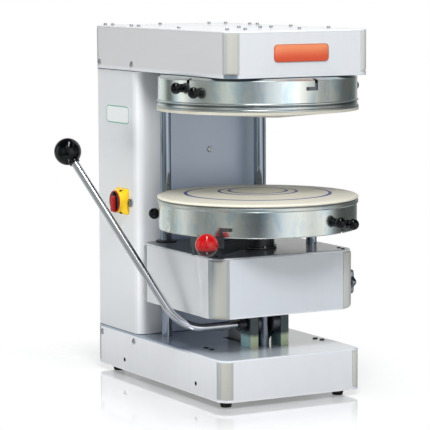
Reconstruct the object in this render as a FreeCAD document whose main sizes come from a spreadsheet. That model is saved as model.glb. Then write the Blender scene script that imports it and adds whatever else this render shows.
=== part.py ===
import FreeCAD, Part
import math
import os
import Sketcher
from FreeCAD import Placement, Rotation, Vector

# Cold dough press: two removable round pans, one on a hand-lifted carriage and one
# under a motor head that swings it in a small circle. Millimetres, +Z up.
# Everything is drawn about the pans' vertical axis and then placed so that the
# origin lies under the middle of the whole outline, on the floor.

os.makedirs("parts", exist_ok=True)
doc = FreeCAD.newDocument("dough_press")

DRIVING_SIZES = [
    ("axis_x", 58.94, "pan axis, to the right of the middle of the outline"),
    ("axis_y", -125.41, "pan axis, behind the middle of the outline"),
    ("fit_gap", 0.05, "radial clearance of a shaft in its bore"),
    ("free_gap", 0.3, "clearance between pieces that only stand next to each other"),
    ("sheet", 2.0, "thickness of the painted sheet"),
    ("deck", 4.0, "thickness of the rounded top covers"),
    ("body_width", 356.0, "width of base and head"),
    ("base_front", 156.0, "front of the base, ahead of the pan axis"),
    ("head_front", 187.0, "front of the head, ahead of the pan axis"),
    ("body_rear", 467.0, "rear of base and head, behind the pan axis"),
    ("foot_height", 14.0, "rubber foot"),
    ("foot_radius", 14.0, "rubber foot"),
    ("foot_left_inset", 27.0, "left feet from the left side"),
    ("foot_right_inset", 44.0, "right feet from the right side"),
    ("foot_front_inset", 34.0, "front feet from the front"),
    ("foot_rear_inset", 67.0, "rear feet from the rear"),
    ("side_hole_radius", 4.0, "holes in the sides of the base"),
    ("side_hole_up", 25.5, "these holes above the feet"),
    ("side_hole_front_inset", 122.0, "front hole from the front of the base"),
    ("side_hole_rear_inset", 152.0, "rear hole from the rear"),
    ("base_height", 92.0, "base without its feet"),
    ("base_plate_thickness", 6.0, "steel floor of the base"),
    ("post_radius", 27.0, "rounded corner profile of base and head"),
    ("post_wall", 4.0, "wall of the corner profiles"),
    ("column_height", 609.0, "column between base and head"),
    ("head_plate_thickness", 8.0, "steel floor of the head"),
    ("head_height", 100.0, "head from underside to top"),
    ("column_inset", 3.0, "column inside the sides of the base"),
    ("column_gap", 43.0, "front face of the column behind the guide rods"),
    ("column_round", 20.0, "bend radius of the column corners"),
    ("column_return", 36.0, "rear flanges of the column sheet"),
    ("frame_tube", 50.0, "square tube of the column frame"),
    ("frame_behind", 30.0, "column frame behind the front of the column"),
    ("frame_inset", 35.0, "frame tubes inside the sides of the column"),
    ("frame_bar_down", 155.0, "cross bar of the column frame below the head"),
    ("frame_bar_height", 60.0, "cross bar of the column frame"),
    ("frame_bar_depth", 12.0, "cross bar of the column frame"),
    ("cable_hole_inset", 6.0, "hole under the column, inside the frame tubes"),
    ("rod_inset", 55.0, "guide rods inside the sides"),
    ("rod_clear", 3.8, "guide rods from the pans"),
    ("rod_radius", 12.5, "guide rod"),
    ("carriage_front", 128.0, "front of the carriage ahead of the axis"),
    ("carriage_rear_gap", 3.0, "rear of the carriage behind the bush tubes"),
    ("carriage_above", 32.5, "lowered carriage above the lever shaft"),
    ("carriage_height", 133.5, "carriage cover"),
    ("carriage_post", 34.0, "rounded corner profile of the carriage"),
    ("carriage_plate", 20.0, "thickness of the carriage plate"),
    ("bearing_radius", 18.0, "outside of the flanged rod bushes"),
    ("bearing_flange", 24.0, "flange of the rod bushes"),
    ("bearing_flange_height", 3.0, "flange of the rod bushes"),
    ("housing_wall_rod", 4.0, "wall of the tube that holds a rod bush"),
    ("housing_length", 100.0, "tube that holds a rod bush"),
    ("lever_y", 16.0, "lever shaft ahead of the axis"),
    ("lever_up", 53.0, "lever shaft above the base"),
    ("shaft_radius", 12.5, "lever shaft"),
    ("bush_wall", 3.0, "lever bush"),
    ("bush_flange", 19.0, "lever bush flange radius"),
    ("bush_flange_width", 2.0, "lever bush flange"),
    ("leg_gap", 1.0, "bracket legs from the crank"),
    ("bracket_leg", 20.0, "thickness of a bracket leg"),
    ("bracket_depth", 44.0, "front to back of the bracket"),
    ("bracket_above", 26.0, "bracket legs above the lever shaft"),
    ("bracket_web", 12.0, "floor of the bracket"),
    ("rest_post_x", 3.0, "rest post to the right of the axis"),
    ("rest_post_radius", 14.0, "chrome post that the lowered carriage rests on"),
    ("rest_buffer", 8.0, "rubber end of the rest post"),
    ("crank_radius", 110.0, "lever shaft to roller"),
    ("crank_half_swing", 44.0, "half of the lever's swing in degrees"),
    ("crank_cheek_left", 8.0, "left cheek of the crank"),
    ("crank_cheek_right", 18.0, "right cheek of the crank"),
    ("crank_gap", 1.2, "cheeks from the rest post"),
    ("crank_boss", 22.0, "radius of the crank at its shaft"),
    ("crank_eye", 15.0, "radius of the crank at its pin"),
    ("crank_pin", 8.0, "radius of the crank pin"),
    ("crank_shoulder", 11.0, "radius of the pin beside the roller"),
    ("roller_radius", 13.0, "lift roller"),
    ("roller_width", 18.0, "lift roller"),
    ("yoke_thickness", 20.0, "lift yoke"),
    ("yoke_rim", 16.0, "steel around the yoke's slot"),
    ("yoke_play", 3.5, "slot above and below the roller"),
    ("hub_radius", 15.0, "black hub of the lever"),
    ("hub_length", 18.0, "black hub of the lever"),
    ("lever_rod_radius", 9.0, "chrome lever rod"),
    ("lever_end_radius", 7.0, "turned end of the lever rod"),
    ("lever_end_length", 24.0, "turned end that shows beside the hub"),
    ("lever_bend_x", 205.0, "corner of the lever, to the left of the axis"),
    ("lever_bend_radius", 80.0, "bend of the lever"),
    ("ball_x", 335.0, "lever ball to the left of the axis"),
    ("ball_back", 296.0, "lever ball behind the lever shaft"),
    ("ball_up", 377.0, "lever ball above the lever shaft"),
    ("ball_radius", 31.0, "lever ball"),
    ("pan_radius", 224.5, "working plates"),
    ("plate_overhang", 3.0, "plates beyond the sheet band"),
    ("band_wall", 1.5, "sheet band"),
    ("bead_inset", 0.3, "beads inside the edge of the plate"),
    ("bead_height", 5.0, "beads next to the plate"),
    ("bead_gap", 3.0, "groove between the beads"),
    ("pan_depth", 67.5, "from the plate's back to the open edge"),
    ("band_flange", 14.0, "inward edge of the band"),
    ("plate_edge", 6.0, "thickness of a plate at its edge"),
    ("plate_flat", 50.0, "radius of the nearly flat middle of the lower plate"),
    ("lower_rise", 12.0, "cone of the lower plate"),
    ("upper_drop", 18.5, "cone of the upper plate"),
    ("upper_point", 36.0, "point of the upper cone off the axis"),
    ("upper_point_angle", -28.8, "direction of that point in degrees"),
    ("upper_point_radius", 22.0, "rounding of that point"),
    ("pan_foot", 47.0, "open edge of the lower pan above the carriage"),
    ("pin_depth", 18.5, "bayonet pins from the pan's open edge"),
    ("pin_radius", 3.6, "bayonet pins"),
    ("slot_half", 4.0, "half width of the bayonet slots"),
    ("twist", 5.5, "bayonet turn in degrees"),
    ("pin_short", 77.0, "plain pin after the knob pin in degrees"),
    ("handle_near", 12.5, "first handle after the knob pin in degrees"),
    ("handle_far", 161.5, "second handle after the knob pin in degrees"),
    ("handle_depth", 26.5, "handles from the pan's open edge"),
    ("upper_turn", -167.7, "knob pin of the upper pan in degrees"),
    ("lower_turn", -58.2, "knob pin of the lower pan in degrees"),
    ("knob_radius", 12.5, "small ball knobs"),
    ("knob_out", 15.5, "centre of the small knobs outside the band"),
    ("knob_neck", 5.0, "neck of the small knobs"),
    ("carrier_gap", 14.0, "discs that carry the pans, inside the band"),
    ("carrier_rim", 20.0, "height of the carrier rim"),
    ("carrier_rim_wall", 10.0, "carrier rim"),
    ("carrier_web", 8.0, "carrier web"),
    ("carrier_inset", 8.0, "carrier inside the pan's open edge"),
    ("carrier_boss", 45.0, "middle boss of the carriers"),
    ("spigot_radius", 20.0, "table spigot on the carriage"),
    ("ring_radius", 37.0, "black thickness ring"),
    ("ring_flange", 42.0, "foot of the thickness ring"),
    ("ring_flange_height", 3.0, "foot of the thickness ring"),
    ("arm_angle", -143.85, "direction of the thickness arm in degrees"),
    ("arm_width", 26.0, "thickness arm"),
    ("arm_low", 10.0, "thickness arm above the carriage"),
    ("arm_height", 26.0, "thickness arm"),
    ("arm_out", 0.5, "end of the thickness arm beyond the band"),
    ("frame_wall", 4.0, "wall of the column frame's tubes"),
    ("pin_press", 6.0, "how deep the carrier pins sit in the rim"),
    ("clip_left", 59.5, "zinc cross plate at the end of the arm, to the left of the arm's middle"),
    ("clip_right", 19.5, "zinc cross plate, to the right of the arm's middle"),
    ("clip_height", 22.0, "zinc cross plate"),
    ("clip_thickness", 4.0, "zinc cross plate"),
    ("clip_tab_in", 4.0, "tab under the zinc plate, from its left end"),
    ("clip_tab_width", 7.0, "tab under the zinc plate"),
    ("clip_tab_height", 18.0, "tab under the zinc plate"),
    ("red_out", 46.0, "red ball beyond the end of the arm"),
    ("red_height", 37.0, "red ball above the carriage"),
    ("red_radius", 25.0, "red ball"),
    ("stem_radius", 5.0, "stem of the red ball"),
    ("stem_socket", 7.5, "how deep the stem sits in the red ball"),
    ("table_lift", 4.0, "travel of the thickness setting"),
    ("table_post_x", 140.0, "chrome table posts from the axis"),
    ("table_post_radius", 12.0, "chrome table posts"),
    ("orbit", 2.0, "throw of the spindle"),
    ("spindle_radius", 17.5, "spindle in its bearings"),
    ("journal_radius", 15.0, "offset journal"),
    ("spindle_end", 2.0, "end of the spindle above its pulley"),
    ("bearing_outer", 35.0, "spindle bearings"),
    ("bearing_height", 16.0, "spindle bearings"),
    ("bearing_step", 40.0, "distance between the spindle bearings"),
    ("housing_wall", 10.0, "spindle housing"),
    ("housing_flange_rim", 6.0, "flange of the spindle housing outside its pins"),
    ("housing_flange_height", 9.0, "flange of the spindle housing"),
    ("hold_pin_radius", 6.0, "pins that keep the upper pan from turning"),
    ("hold_pin_x", 80.0, "these pins from the spindle"),
    ("pulley_up", 6.0, "pulleys above the spindle housing"),
    ("pulley_height", 16.0, "pulleys"),
    ("spindle_pulley", 70.0, "radius of the spindle pulley"),
    ("motor_pulley", 35.0, "radius of the motor pulley"),
    ("belt_thickness", 3.0, "flat belt"),
    ("motor_inset", 92.0, "motor ahead of the rear"),
    ("motor_radius", 58.0, "motor"),
    ("motor_length", 205.0, "motor"),
    ("motor_shaft", 9.0, "radius of the motor shaft"),
    ("face_screw_down", 186.5, "screw in the column's front below the head"),
    ("face_screw_side", 14.5, "screw in the column's front, to the right of the axis"),
    ("face_screw_radius", 3.6, "screw in the column's front"),
    ("flat_rear_inset", 35.0, "rear side screws from the rear"),
    ("flat_front_inset", 201.0, "front side screws from the rear"),
    ("flat_head_up", 15.0, "side screws above the head's underside"),
    ("flat_base_down", 16.0, "side screws below the top of the base"),
    ("cover_round", 3.0, "rounded upper edge of the covers"),
    ("screw_radius", 4.6, "cap screws"),
    ("screw_height", 6.0, "cap screws"),
    ("rivet_height", 1.8, "flat screw heads on the sides"),
    ("badge_width", 136.0, "bare front plate"),
    ("badge_height", 38.0, "bare front plate"),
    ("badge_up", 52.0, "bare front plate above the head's underside"),
    ("badge_side", 1.0, "bare front plate to the right of the axis"),
    ("badge_round", 5.0, "corners of the bare front plate"),
    ("badge_thickness", 2.5, "bare front plate"),
    ("label_length", 118.0, "bare side plate"),
    ("label_height", 42.0, "bare side plate"),
    ("label_inset", 122.0, "bare side plate ahead of the rear"),
    ("label_down", 104.0, "bare side plate below the head"),
    ("label_round", 12.0, "corners of the bare side plate"),
    ("label_thickness", 0.8, "bare side plate"),
    ("switch_inset", 145.0, "main switch ahead of the rear"),
    ("switch_up", 305.0, "main switch above the base"),
    ("switch_side", 60.0, "yellow switch plate"),
    ("switch_depth", 9.0, "yellow switch plate"),
    ("switch_round", 5.0, "corners of the yellow switch plate"),
    ("switch_collar_radius", 26.5, "yellow collar round the switch knob"),
    ("switch_collar_depth", 11.5, "yellow collar round the switch knob"),
    ("switch_block_depth", 30.0, "contact block behind the column's side"),
    ("switch_block_side", 50.0, "contact block behind the column's side"),
    ("switch_stem", 6.0, "stem behind the switch knob"),
    ("switch_knob_radius", 25.5, "disc of the red switch knob"),
    ("switch_knob_disc", 3.0, "disc of the red switch knob"),
    ("switch_grip", 14.0, "grip on the switch knob"),
    ("switch_grip_depth", 7.0, "grip on the switch knob"),
    ("switch_grip_up", 14.0, "grip above the middle of the switch knob"),
    ("switch_grip_down", 23.5, "grip below the middle of the switch knob"),
    ("clamp_y", 80.0, "clamp knob ahead of the axis"),
    ("clamp_up", 55.5, "clamp knob above the carriage's lower edge"),
    ("clamp_radius", 26.0, "clamp knob"),
    ("clamp_depth", 10.0, "clamp knob"),
    ("clamp_lobe", 6.0, "lobes of the clamp knob"),
    ("clamp_stem", 5.0, "stem of the clamp knob"),
    ("gland_x", 105.0, "cable gland to the right of the axis"),
    ("gland_up", 48.0, "cable gland above the feet"),
    ("gland_radius", 12.0, "cable gland"),
    ("gland_bore", 5.0, "cable gland"),
]

# The cap screws on the head are not in rows. Near the edges they are measured in from
# the nearer side and from the rear, and over the drive from the pans' axis.
EDGE_SCREWS = [
    ("left", 23.0, 19.0), ("left", 31.0, 42.0), ("left", 23.0, 155.0), ("left", 23.0, 192.0),
    ("left", 36.0, 363.0), ("left", 60.0, 541.0), ("left", 102.0, 546.0), ("left", 146.0, 62.0),
    ("right", 45.0, 388.0), ("right", 40.0, 543.0), ("right", 33.0, 215.0), ("right", 33.0, 179.0),
    ("right", 47.0, 87.0), ("right", 80.0, 65.0),
]
DRIVE_SCREWS = [(-11.0, 64.0), (25.0, 31.0), (60.0, 43.0), (48.0, -101.0)]
for number, (side, inward, ahead) in enumerate(EDGE_SCREWS, 1):
    DRIVING_SIZES.append((f"edge_screw_{number}_in", inward, f"cap screw from the {side} side"))
    DRIVING_SIZES.append((f"edge_screw_{number}_ahead", ahead, "the same screw ahead of the rear"))
for number, (right, behind) in enumerate(DRIVE_SCREWS, 1):
    DRIVING_SIZES.append((f"drive_screw_{number}_x", right, "cap screw to the right of the axis"))
    DRIVING_SIZES.append((f"drive_screw_{number}_y", behind, "the same screw behind the axis"))

sheet = doc.addObject("Spreadsheet::Sheet", "D")
for row, (alias, value, meaning) in enumerate(DRIVING_SIZES, 1):
    sheet.set(f"A{row}", meaning)
    sheet.set(f"B{row}", str(value))
    sheet.setAlias(f"B{row}", alias)
doc.recompute()


class Size:
    """A length that keeps its formula over the sheet's cells beside its value."""

    def __init__(self, text, value):
        self.text = text
        self.value = value

    def __add__(self, other):
        other = as_size(other)
        return Size(f"({self.text} + {other.text})", self.value + other.value)

    def __sub__(self, other):
        other = as_size(other)
        return Size(f"({self.text} - {other.text})", self.value - other.value)

    def __mul__(self, other):
        other = as_size(other)
        return Size(f"({self.text} * {other.text})", self.value * other.value)

    def __truediv__(self, other):
        other = as_size(other)
        return Size(f"({self.text} / {other.text})", self.value / other.value)

    def __neg__(self):
        return Size(f"(-1 * {self.text})", -self.value)

    def __radd__(self, other):
        return as_size(other) + self

    def __rsub__(self, other):
        return as_size(other) - self

    def __rmul__(self, other):
        return as_size(other) * self


def as_size(number):
    if isinstance(number, Size):
        return number
    return Size(f"({float(number)!r})", float(number))


def cell(alias):
    return Size(f"D.{alias}", float(sheet.get(alias)))


def sine(angle):
    return Size(f"sin({angle.text} * 1 deg)", math.sin(math.radians(angle.value)))


def cosine(angle):
    return Size(f"cos({angle.text} * 1 deg)", math.cos(math.radians(angle.value)))


def root(size):
    return Size(f"sqrt({size.text})", math.sqrt(size.value))


ZERO = as_size(0)
nodes = {}


def bind(thing, prop, size):
    thing.setExpression(prop, as_size(size).text)


def finish(thing, label):
    """Name a finished piece and move it from the pans' axis to the row's frame."""
    thing.Label = label
    bind(thing, "Placement.Base.x", cell("axis_x"))
    bind(thing, "Placement.Base.y", cell("axis_y"))
    nodes[label] = thing
    return thing


def box(name, x, y, z):
    """A block between two coordinates on each axis."""
    block = doc.addObject("Part::Box", name)
    for prop, side in (("Length", x), ("Width", y), ("Height", z)):
        bind(block, prop, as_size(side[1]) - as_size(side[0]))
    for axis, side in (("x", x), ("y", y), ("z", z)):
        bind(block, f"Placement.Base.{axis}", side[0])
    return block


AXIS_TURN = {
    "x": Rotation(Vector(0, 1, 0), 90),
    "y": Rotation(Vector(1, 0, 0), -90),
    "z": Rotation(),
}


def rod(name, radius, start, length, axis="z", top_radius=None):
    """A round bar, or a cone if it has a top radius, from a start point along an axis."""
    kind = "Part::Cylinder" if top_radius is None else "Part::Cone"
    bar = doc.addObject(kind, name)
    if top_radius is None:
        bind(bar, "Radius", radius)
    else:
        bind(bar, "Radius1", radius)
        bind(bar, "Radius2", top_radius)
    bind(bar, "Height", length)
    bar.Placement = Placement(Vector(), AXIS_TURN[axis])
    for letter, coordinate in zip("xyz", start):
        bind(bar, f"Placement.Base.{letter}", coordinate)
    return bar


def ball(name, radius, centre):
    sphere = doc.addObject("Part::Sphere", name)
    bind(sphere, "Radius", radius)
    for letter, coordinate in zip("xyz", centre):
        bind(sphere, f"Placement.Base.{letter}", coordinate)
    return sphere


def fuse(name, pieces):
    joined = doc.addObject("Part::MultiFuse", name)
    joined.Shapes = pieces
    joined.Refine = True
    return joined


def cut(name, base, tools):
    tool = tools[0] if len(tools) == 1 else fuse(name + "_tools", tools)
    remaining = doc.addObject("Part::Cut", name)
    remaining.Base = base
    remaining.Tool = tool
    remaining.Refine = True
    return remaining


def group(name, pieces):
    together = doc.addObject("Part::Compound", name)
    together.Links = pieces
    return together


def turned(name, piece, angle):
    """The same piece turned about the pans' axis by an angle in degrees."""
    holder = doc.addObject("Part::Compound", name)
    holder.Links = [piece]
    holder.Placement = Placement(Vector(), Rotation(Vector(0, 0, 1), 1))
    bind(holder, "Placement.Rotation.Angle", angle)
    return holder


def origin_plane(body, role):
    for feature in body.Origin.OriginFeatures:
        if feature.Role == role:
            return feature
    raise ValueError(role)


def outline(body, role, offset, loops, holes=(), turn=0.0):
    """A sketch on an origin plane; every corner and hole is tied to the sheet."""
    sketch = body.newObject("Sketcher::SketchObject", body.Name + "_outline")
    sketch.AttachmentSupport = [(origin_plane(body, role), "")]
    sketch.MapMode = "FlatFace"
    if turn:
        sketch.AttachmentOffset = Placement(Vector(), Rotation(Vector(0, 1, 0), turn))
    bind(sketch, "AttachmentOffset.Base.z", offset)
    for loop in loops:
        corners = [(as_size(u), as_size(v)) for u, v in loop]
        count = len(corners)
        first = sketch.GeometryCount
        for index in range(count):
            start = corners[index]
            end = corners[(index + 1) % count]
            line = Part.LineSegment(Vector(start[0].value, start[1].value, 0),
                                    Vector(end[0].value, end[1].value, 0))
            sketch.addGeometry(line, False)
        for index in range(count):
            following = first + (index + 1) % count
            sketch.addConstraint(Sketcher.Constraint("Coincident", first + index, 2, following, 1))
        for index, (u, v) in enumerate(corners):
            tie_point(sketch, first + index, 1, u, v)
    for u, v, radius in holes:
        u, v, radius = as_size(u), as_size(v), as_size(radius)
        circle = Part.Circle(Vector(u.value, v.value, 0), Vector(0, 0, 1), radius.value)
        number = sketch.addGeometry(circle, False)
        tie_point(sketch, number, 3, u, v)
        mark = sketch.addConstraint(Sketcher.Constraint("Radius", number, radius.value))
        sketch.setExpression(f"Constraints[{mark}]", radius.text)
    return sketch


def tie_point(sketch, geometry, end, u, v):
    for kind, size in (("DistanceX", u), ("DistanceY", v)):
        mark = sketch.addConstraint(Sketcher.Constraint(kind, -1, 1, geometry, end, size.value))
        sketch.setExpression(f"Constraints[{mark}]", size.text)


PLANE = {"x": "YZ_Plane", "y": "XZ_Plane", "z": "XY_Plane"}


def prism(label, axis, low, high, loops, holes=()):
    """A body padded along an axis between two coordinates.

    Outlines are in (y, z) for x, in (x, z) for y and in (x, y) for z.
    """
    body = doc.addObject("PartDesign::Body", label)
    low, high = as_size(low), as_size(high)
    offset = -high if axis == "y" else low
    sketch = outline(body, PLANE[axis], offset, loops, holes)
    pad = body.newObject("PartDesign::Pad", label + "_pad")
    pad.Profile = sketch
    bind(pad, "Length", high - low)
    body.Tip = pad
    return body


def revolved(label, profile):
    """A body turned about the pans' axis from a half section in (radius, z)."""
    body = doc.addObject("PartDesign::Body", label)
    sketch = outline(body, "XZ_Plane", ZERO, [profile])
    turn = body.newObject("PartDesign::Revolution", label + "_turn")
    turn.Profile = sketch
    turn.ReferenceAxis = (sketch, ["V_Axis"])
    turn.Angle = 360.0
    body.Tip = turn
    return body


def round_edges(body, radius, wanted):
    """Fillet the edges of the body's tip that the test picks."""
    doc.recompute()
    sharp = body.Tip
    names = []
    for number, edge in enumerate(sharp.Shape.Edges, 1):
        if wanted(edge):
            names.append(f"Edge{number}")
    fillet = body.newObject("PartDesign::Fillet", f"{sharp.Name}_round")
    fillet.Base = (sharp, names)
    bind(fillet, "Radius", radius)
    body.Tip = fillet
    return body


def upright(edge):
    """True for a straight edge along Z."""
    ends = [vertex.Point for vertex in edge.Vertexes]
    if len(ends) != 2 or not isinstance(edge.Curve, Part.Line):
        return False
    return abs(ends[0].x - ends[1].x) < 1e-6 and abs(ends[0].y - ends[1].y) < 1e-6


def rectangle(low_u, high_u, low_v, high_v):
    return [(low_u, low_v), (high_u, low_v), (high_u, high_v), (low_u, high_v)]


def ring_quarter(name, centre, outer, wall, z, start_angle):
    """A quarter of a tube: one rounded corner profile."""
    shells = []
    for part, radius in (("skin", outer), ("core", outer - wall)):
        quarter = doc.addObject("Part::Cylinder", f"{name}_{part}")
        bind(quarter, "Radius", radius)
        bind(quarter, "Height", z[1] - z[0])
        quarter.Angle = 90
        quarter.Placement = Placement(Vector(), Rotation(Vector(0, 0, 1), start_angle))
        for letter, coordinate in zip("xyz", (centre[0], centre[1], z[0])):
            bind(quarter, f"Placement.Base.{letter}", coordinate)
        shells.append(quarter)
    return cut(name, shells[0], [shells[1]])


def corner_posts(label, half, front, rear, radius, wall, z):
    posts = []
    corners = (
        ("front_left", -half + radius, -front + radius, 180),
        ("front_right", half - radius, -front + radius, 270),
        ("rear_right", half - radius, rear - radius, 0),
        ("rear_left", -half + radius, rear - radius, 90),
    )
    for corner, x, y, angle in corners:
        posts.append(ring_quarter(f"{label}_{corner}", (x, y), radius, wall, z, angle))
    return finish(group(label, posts), label)


# Heights and widths that several pieces share.
fit_gap = cell("fit_gap")
free_gap = cell("free_gap")
sheet_t = cell("sheet")
deck = cell("deck")
half = cell("body_width") / 2
base_front = cell("base_front")
head_front = cell("head_front")
rear = cell("body_rear")
post_r = cell("post_radius")
post_wall = cell("post_wall")
foot_h = cell("foot_height")
base_top = foot_h + cell("base_height")
base_floor = foot_h + cell("base_plate_thickness")
base_deck = base_top - deck
head_low = base_top + cell("column_height")
head_floor = head_low + cell("head_plate_thickness")
head_top = head_low + cell("head_height")
head_deck = head_top - deck
pan_r = cell("pan_radius")
band_r = pan_r - cell("plate_overhang")
rod_r = cell("rod_radius")
rod_x = half - cell("rod_inset")
rod_reach = pan_r + cell("rod_clear") + rod_r
rod_y = root(rod_reach * rod_reach - rod_x * rod_x)
column_half = half - cell("column_inset")
column_front = rod_y + cell("column_gap")
column_rear = rear - sheet_t
lever_y = -cell("lever_y")
lever_z = base_top + cell("lever_up")


# Base: steel floor, four corner profiles, sheet panels and a rounded top cover.
def round_top(body, high):
    """Round the outer upper edge of a cover."""
    def on_top(edge):
        box_of_edge = edge.BoundBox
        return abs(box_of_edge.ZMin - high.value) < 1e-4 and abs(box_of_edge.ZMax - high.value) < 1e-4
    round_edges(body, cell("cover_round"), on_top)


def full_floor(label, front, low, high, loops=(), holes=(), rounded=False):
    """A plate over the whole outline, rounded at its upright corners."""
    shape = [rectangle(-half, half, -front, rear)]
    body = prism(label, "z", low, high, shape)
    round_edges(body, post_r, upright)
    if rounded:
        round_top(body, high)
    if loops or holes:
        sketch = outline(body, "XY_Plane", high, list(loops), list(holes))
        pocket = body.newObject("PartDesign::Pocket", label + "_holes")
        pocket.Profile = sketch
        pocket.Type = "ThroughAll"
        body.Tip = pocket
    return finish(body, label)


gland_x = cell("gland_x")
gland_z = foot_h + cell("gland_up")
full_floor("base_plate", base_front, foot_h, base_floor)

side_hole_z = foot_h + cell("side_hole_up")
side_holes = [
    (rear - cell("side_hole_rear_inset"), side_hole_z, cell("side_hole_radius")),
    (-base_front + cell("side_hole_front_inset"), side_hole_z, cell("side_hole_radius")),
]


def panels(label, span, radius, z, left_holes=(), right_holes=(), rear_holes=()):
    """The four sheets of a box, between its corner profiles."""
    sheets = []
    side_outline = [rectangle(-span[0] + radius, span[1] - radius, z[0], z[1])]
    end_outline = [rectangle(-half + radius, half - radius, z[0], z[1])]
    sheets.append(prism(f"{label}_left", "x", -half, -half + sheet_t, side_outline, left_holes))
    sheets.append(prism(f"{label}_right", "x", half - sheet_t, half, side_outline, right_holes))
    sheets.append(prism(f"{label}_front", "y", -span[0], -span[0] + sheet_t, end_outline))
    sheets.append(prism(f"{label}_rear", "y", span[1] - sheet_t, span[1], end_outline, rear_holes))
    return finish(group(label, sheets), label)


panels("base_panels", (base_front, rear), post_r, (base_floor, base_deck), side_holes, side_holes,
       [(gland_x, gland_z, cell("gland_radius") - 3)])
corner_posts("base_corner_posts", half, base_front, rear, post_r, post_wall, (base_floor, base_deck))

# The top cover lets the bracket legs, the rest post, the rods and the lift through.
bracket_half = cell("bracket_depth") / 2
leg = cell("bracket_leg")
post_x = cell("rest_post_x")
post_half = cell("rest_post_radius")
cheek_left = (post_x - post_half - cell("crank_gap") - cell("crank_cheek_left"),
              post_x - post_half - cell("crank_gap"))
cheek_right = (post_x + post_half + cell("crank_gap"),
               post_x + post_half + cell("crank_gap") + cell("crank_cheek_right"))
leg_gap = cell("leg_gap")
left_leg = (cheek_left[0] - leg_gap - leg, cheek_left[0] - leg_gap)
right_leg = (cheek_right[1] + leg_gap, cheek_right[1] + leg_gap + leg)
bracket_top = lever_z + cell("bracket_above")
crank_r = cell("crank_radius")
swing = cell("crank_half_swing")
pin_y = lever_y + crank_r * cosine(swing)
pin_z = lever_z - crank_r * sine(swing)
roller_r = cell("roller_radius")
yoke_x = (post_x - cell("yoke_thickness") / 2, post_x + cell("yoke_thickness") / 2)
slot_y = (pin_y - roller_r - 2, lever_y + crank_r + roller_r + 2)
yoke_y = (slot_y[0] - cell("yoke_rim"), slot_y[1] + cell("yoke_rim"))
yoke_reach = roller_r + cell("yoke_play")
lift_slot_front = lever_y + bracket_half + 8
lift_slot = rectangle(cheek_left[0] - 2, cheek_right[1] + 2, lift_slot_front, yoke_y[1] + 3)
column_hole_front = column_front + cell("column_round") + 2
frame_front = column_front + cell("frame_behind")
frame_y = (frame_front, frame_front + cell("frame_tube"))
frame_outer = column_half - cell("frame_inset")
frame_inner = frame_outer - cell("frame_tube")
cable_half = frame_inner - cell("cable_hole_inset")


def leg_hole(span):
    return rectangle(span[0] - free_gap, span[1] + free_gap,
                     lever_y - bracket_half - free_gap, lever_y + bracket_half + free_gap)


cover_loops = [
    leg_hole(left_leg), leg_hole(right_leg), lift_slot,
    rectangle(-cable_half, cable_half, column_hole_front, rear - post_r - 20),
    rectangle(-frame_outer - free_gap, -frame_inner + free_gap, frame_y[0] - free_gap, frame_y[1] + free_gap),
    rectangle(frame_inner - free_gap, frame_outer + free_gap, frame_y[0] - free_gap, frame_y[1] + free_gap),
]
cover_holes = [
    (post_x, lever_y, post_half + free_gap),
    (-rod_x, rod_y, rod_r + free_gap),
    (rod_x, rod_y, rod_r + free_gap),
]
full_floor("base_top_cover", base_front, base_deck, base_top, cover_loops, cover_holes, True)

feet = []
foot_x = (("left", -half + cell("foot_left_inset")), ("right", half - cell("foot_right_inset")))
foot_y = (("front", -base_front + cell("foot_front_inset")), ("rear", rear - cell("foot_rear_inset")))
for side, x in foot_x:
    for place, y in foot_y:
        feet.append(rod(f"foot_{place}_{side}", cell("foot_radius") - 1.5, (x, y, ZERO), foot_h,
                        top_radius=cell("foot_radius")))
finish(group("rubber_feet", feet), "rubber_feet")

# Lever bracket: a U of zinc plated plate that stands on the floor of the base.
bracket_profile = [
    (left_leg[0], base_floor), (right_leg[1], base_floor),
    (right_leg[1], bracket_top), (right_leg[0], bracket_top),
    (right_leg[0], base_floor + cell("bracket_web")), (left_leg[1], base_floor + cell("bracket_web")),
    (left_leg[1], bracket_top), (left_leg[0], bracket_top),
]
bracket = prism("bracket_u", "y", lever_y - bracket_half, lever_y + bracket_half, [bracket_profile])


def bracket_corner(edge):
    """The upper edges of the legs that run from left to right."""
    ends = [vertex.Point for vertex in edge.Vertexes]
    top = bracket_top.value
    level = all(abs(end.z - top) < 1e-6 for end in ends)
    return level and abs(ends[0].y - ends[1].y) < 1e-6


round_edges(bracket, 12, bracket_corner)
shaft_r = cell("shaft_radius")
bush_r = shaft_r + cell("bush_wall")
bore = rod("bracket_bore", bush_r, (left_leg[0] - 1, lever_y, lever_z), right_leg[1] - left_leg[0] + 2, "x")
post_bore = rod("bracket_post_bore", post_half + free_gap, (post_x, lever_y, base_floor - 1),
                cell("bracket_web") + 2)
finish(cut("lever_bracket", bracket, [bore, post_bore]), "lever_bracket")


def lever_bush(name, span, flange_low):
    """A flanged bronze bush pressed into one leg."""
    outside = fuse(name + "_outside", [
        rod(name + "_sleeve", bush_r, (span[0], lever_y, lever_z), leg, "x"),
        rod(name + "_flange", cell("bush_flange"), (flange_low, lever_y, lever_z),
            cell("bush_flange_width"), "x"),
    ])
    inside = rod(name + "_bore", shaft_r + fit_gap, (span[0] - 5, lever_y, lever_z), leg + 10, "x")
    return cut(name, outside, [inside])


bushes = [
    lever_bush("bush_left", left_leg, left_leg[0] - cell("bush_flange_width")),
    lever_bush("bush_right", right_leg, right_leg[1]),
]
finish(group("lever_bushes", bushes), "lever_bushes")

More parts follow.
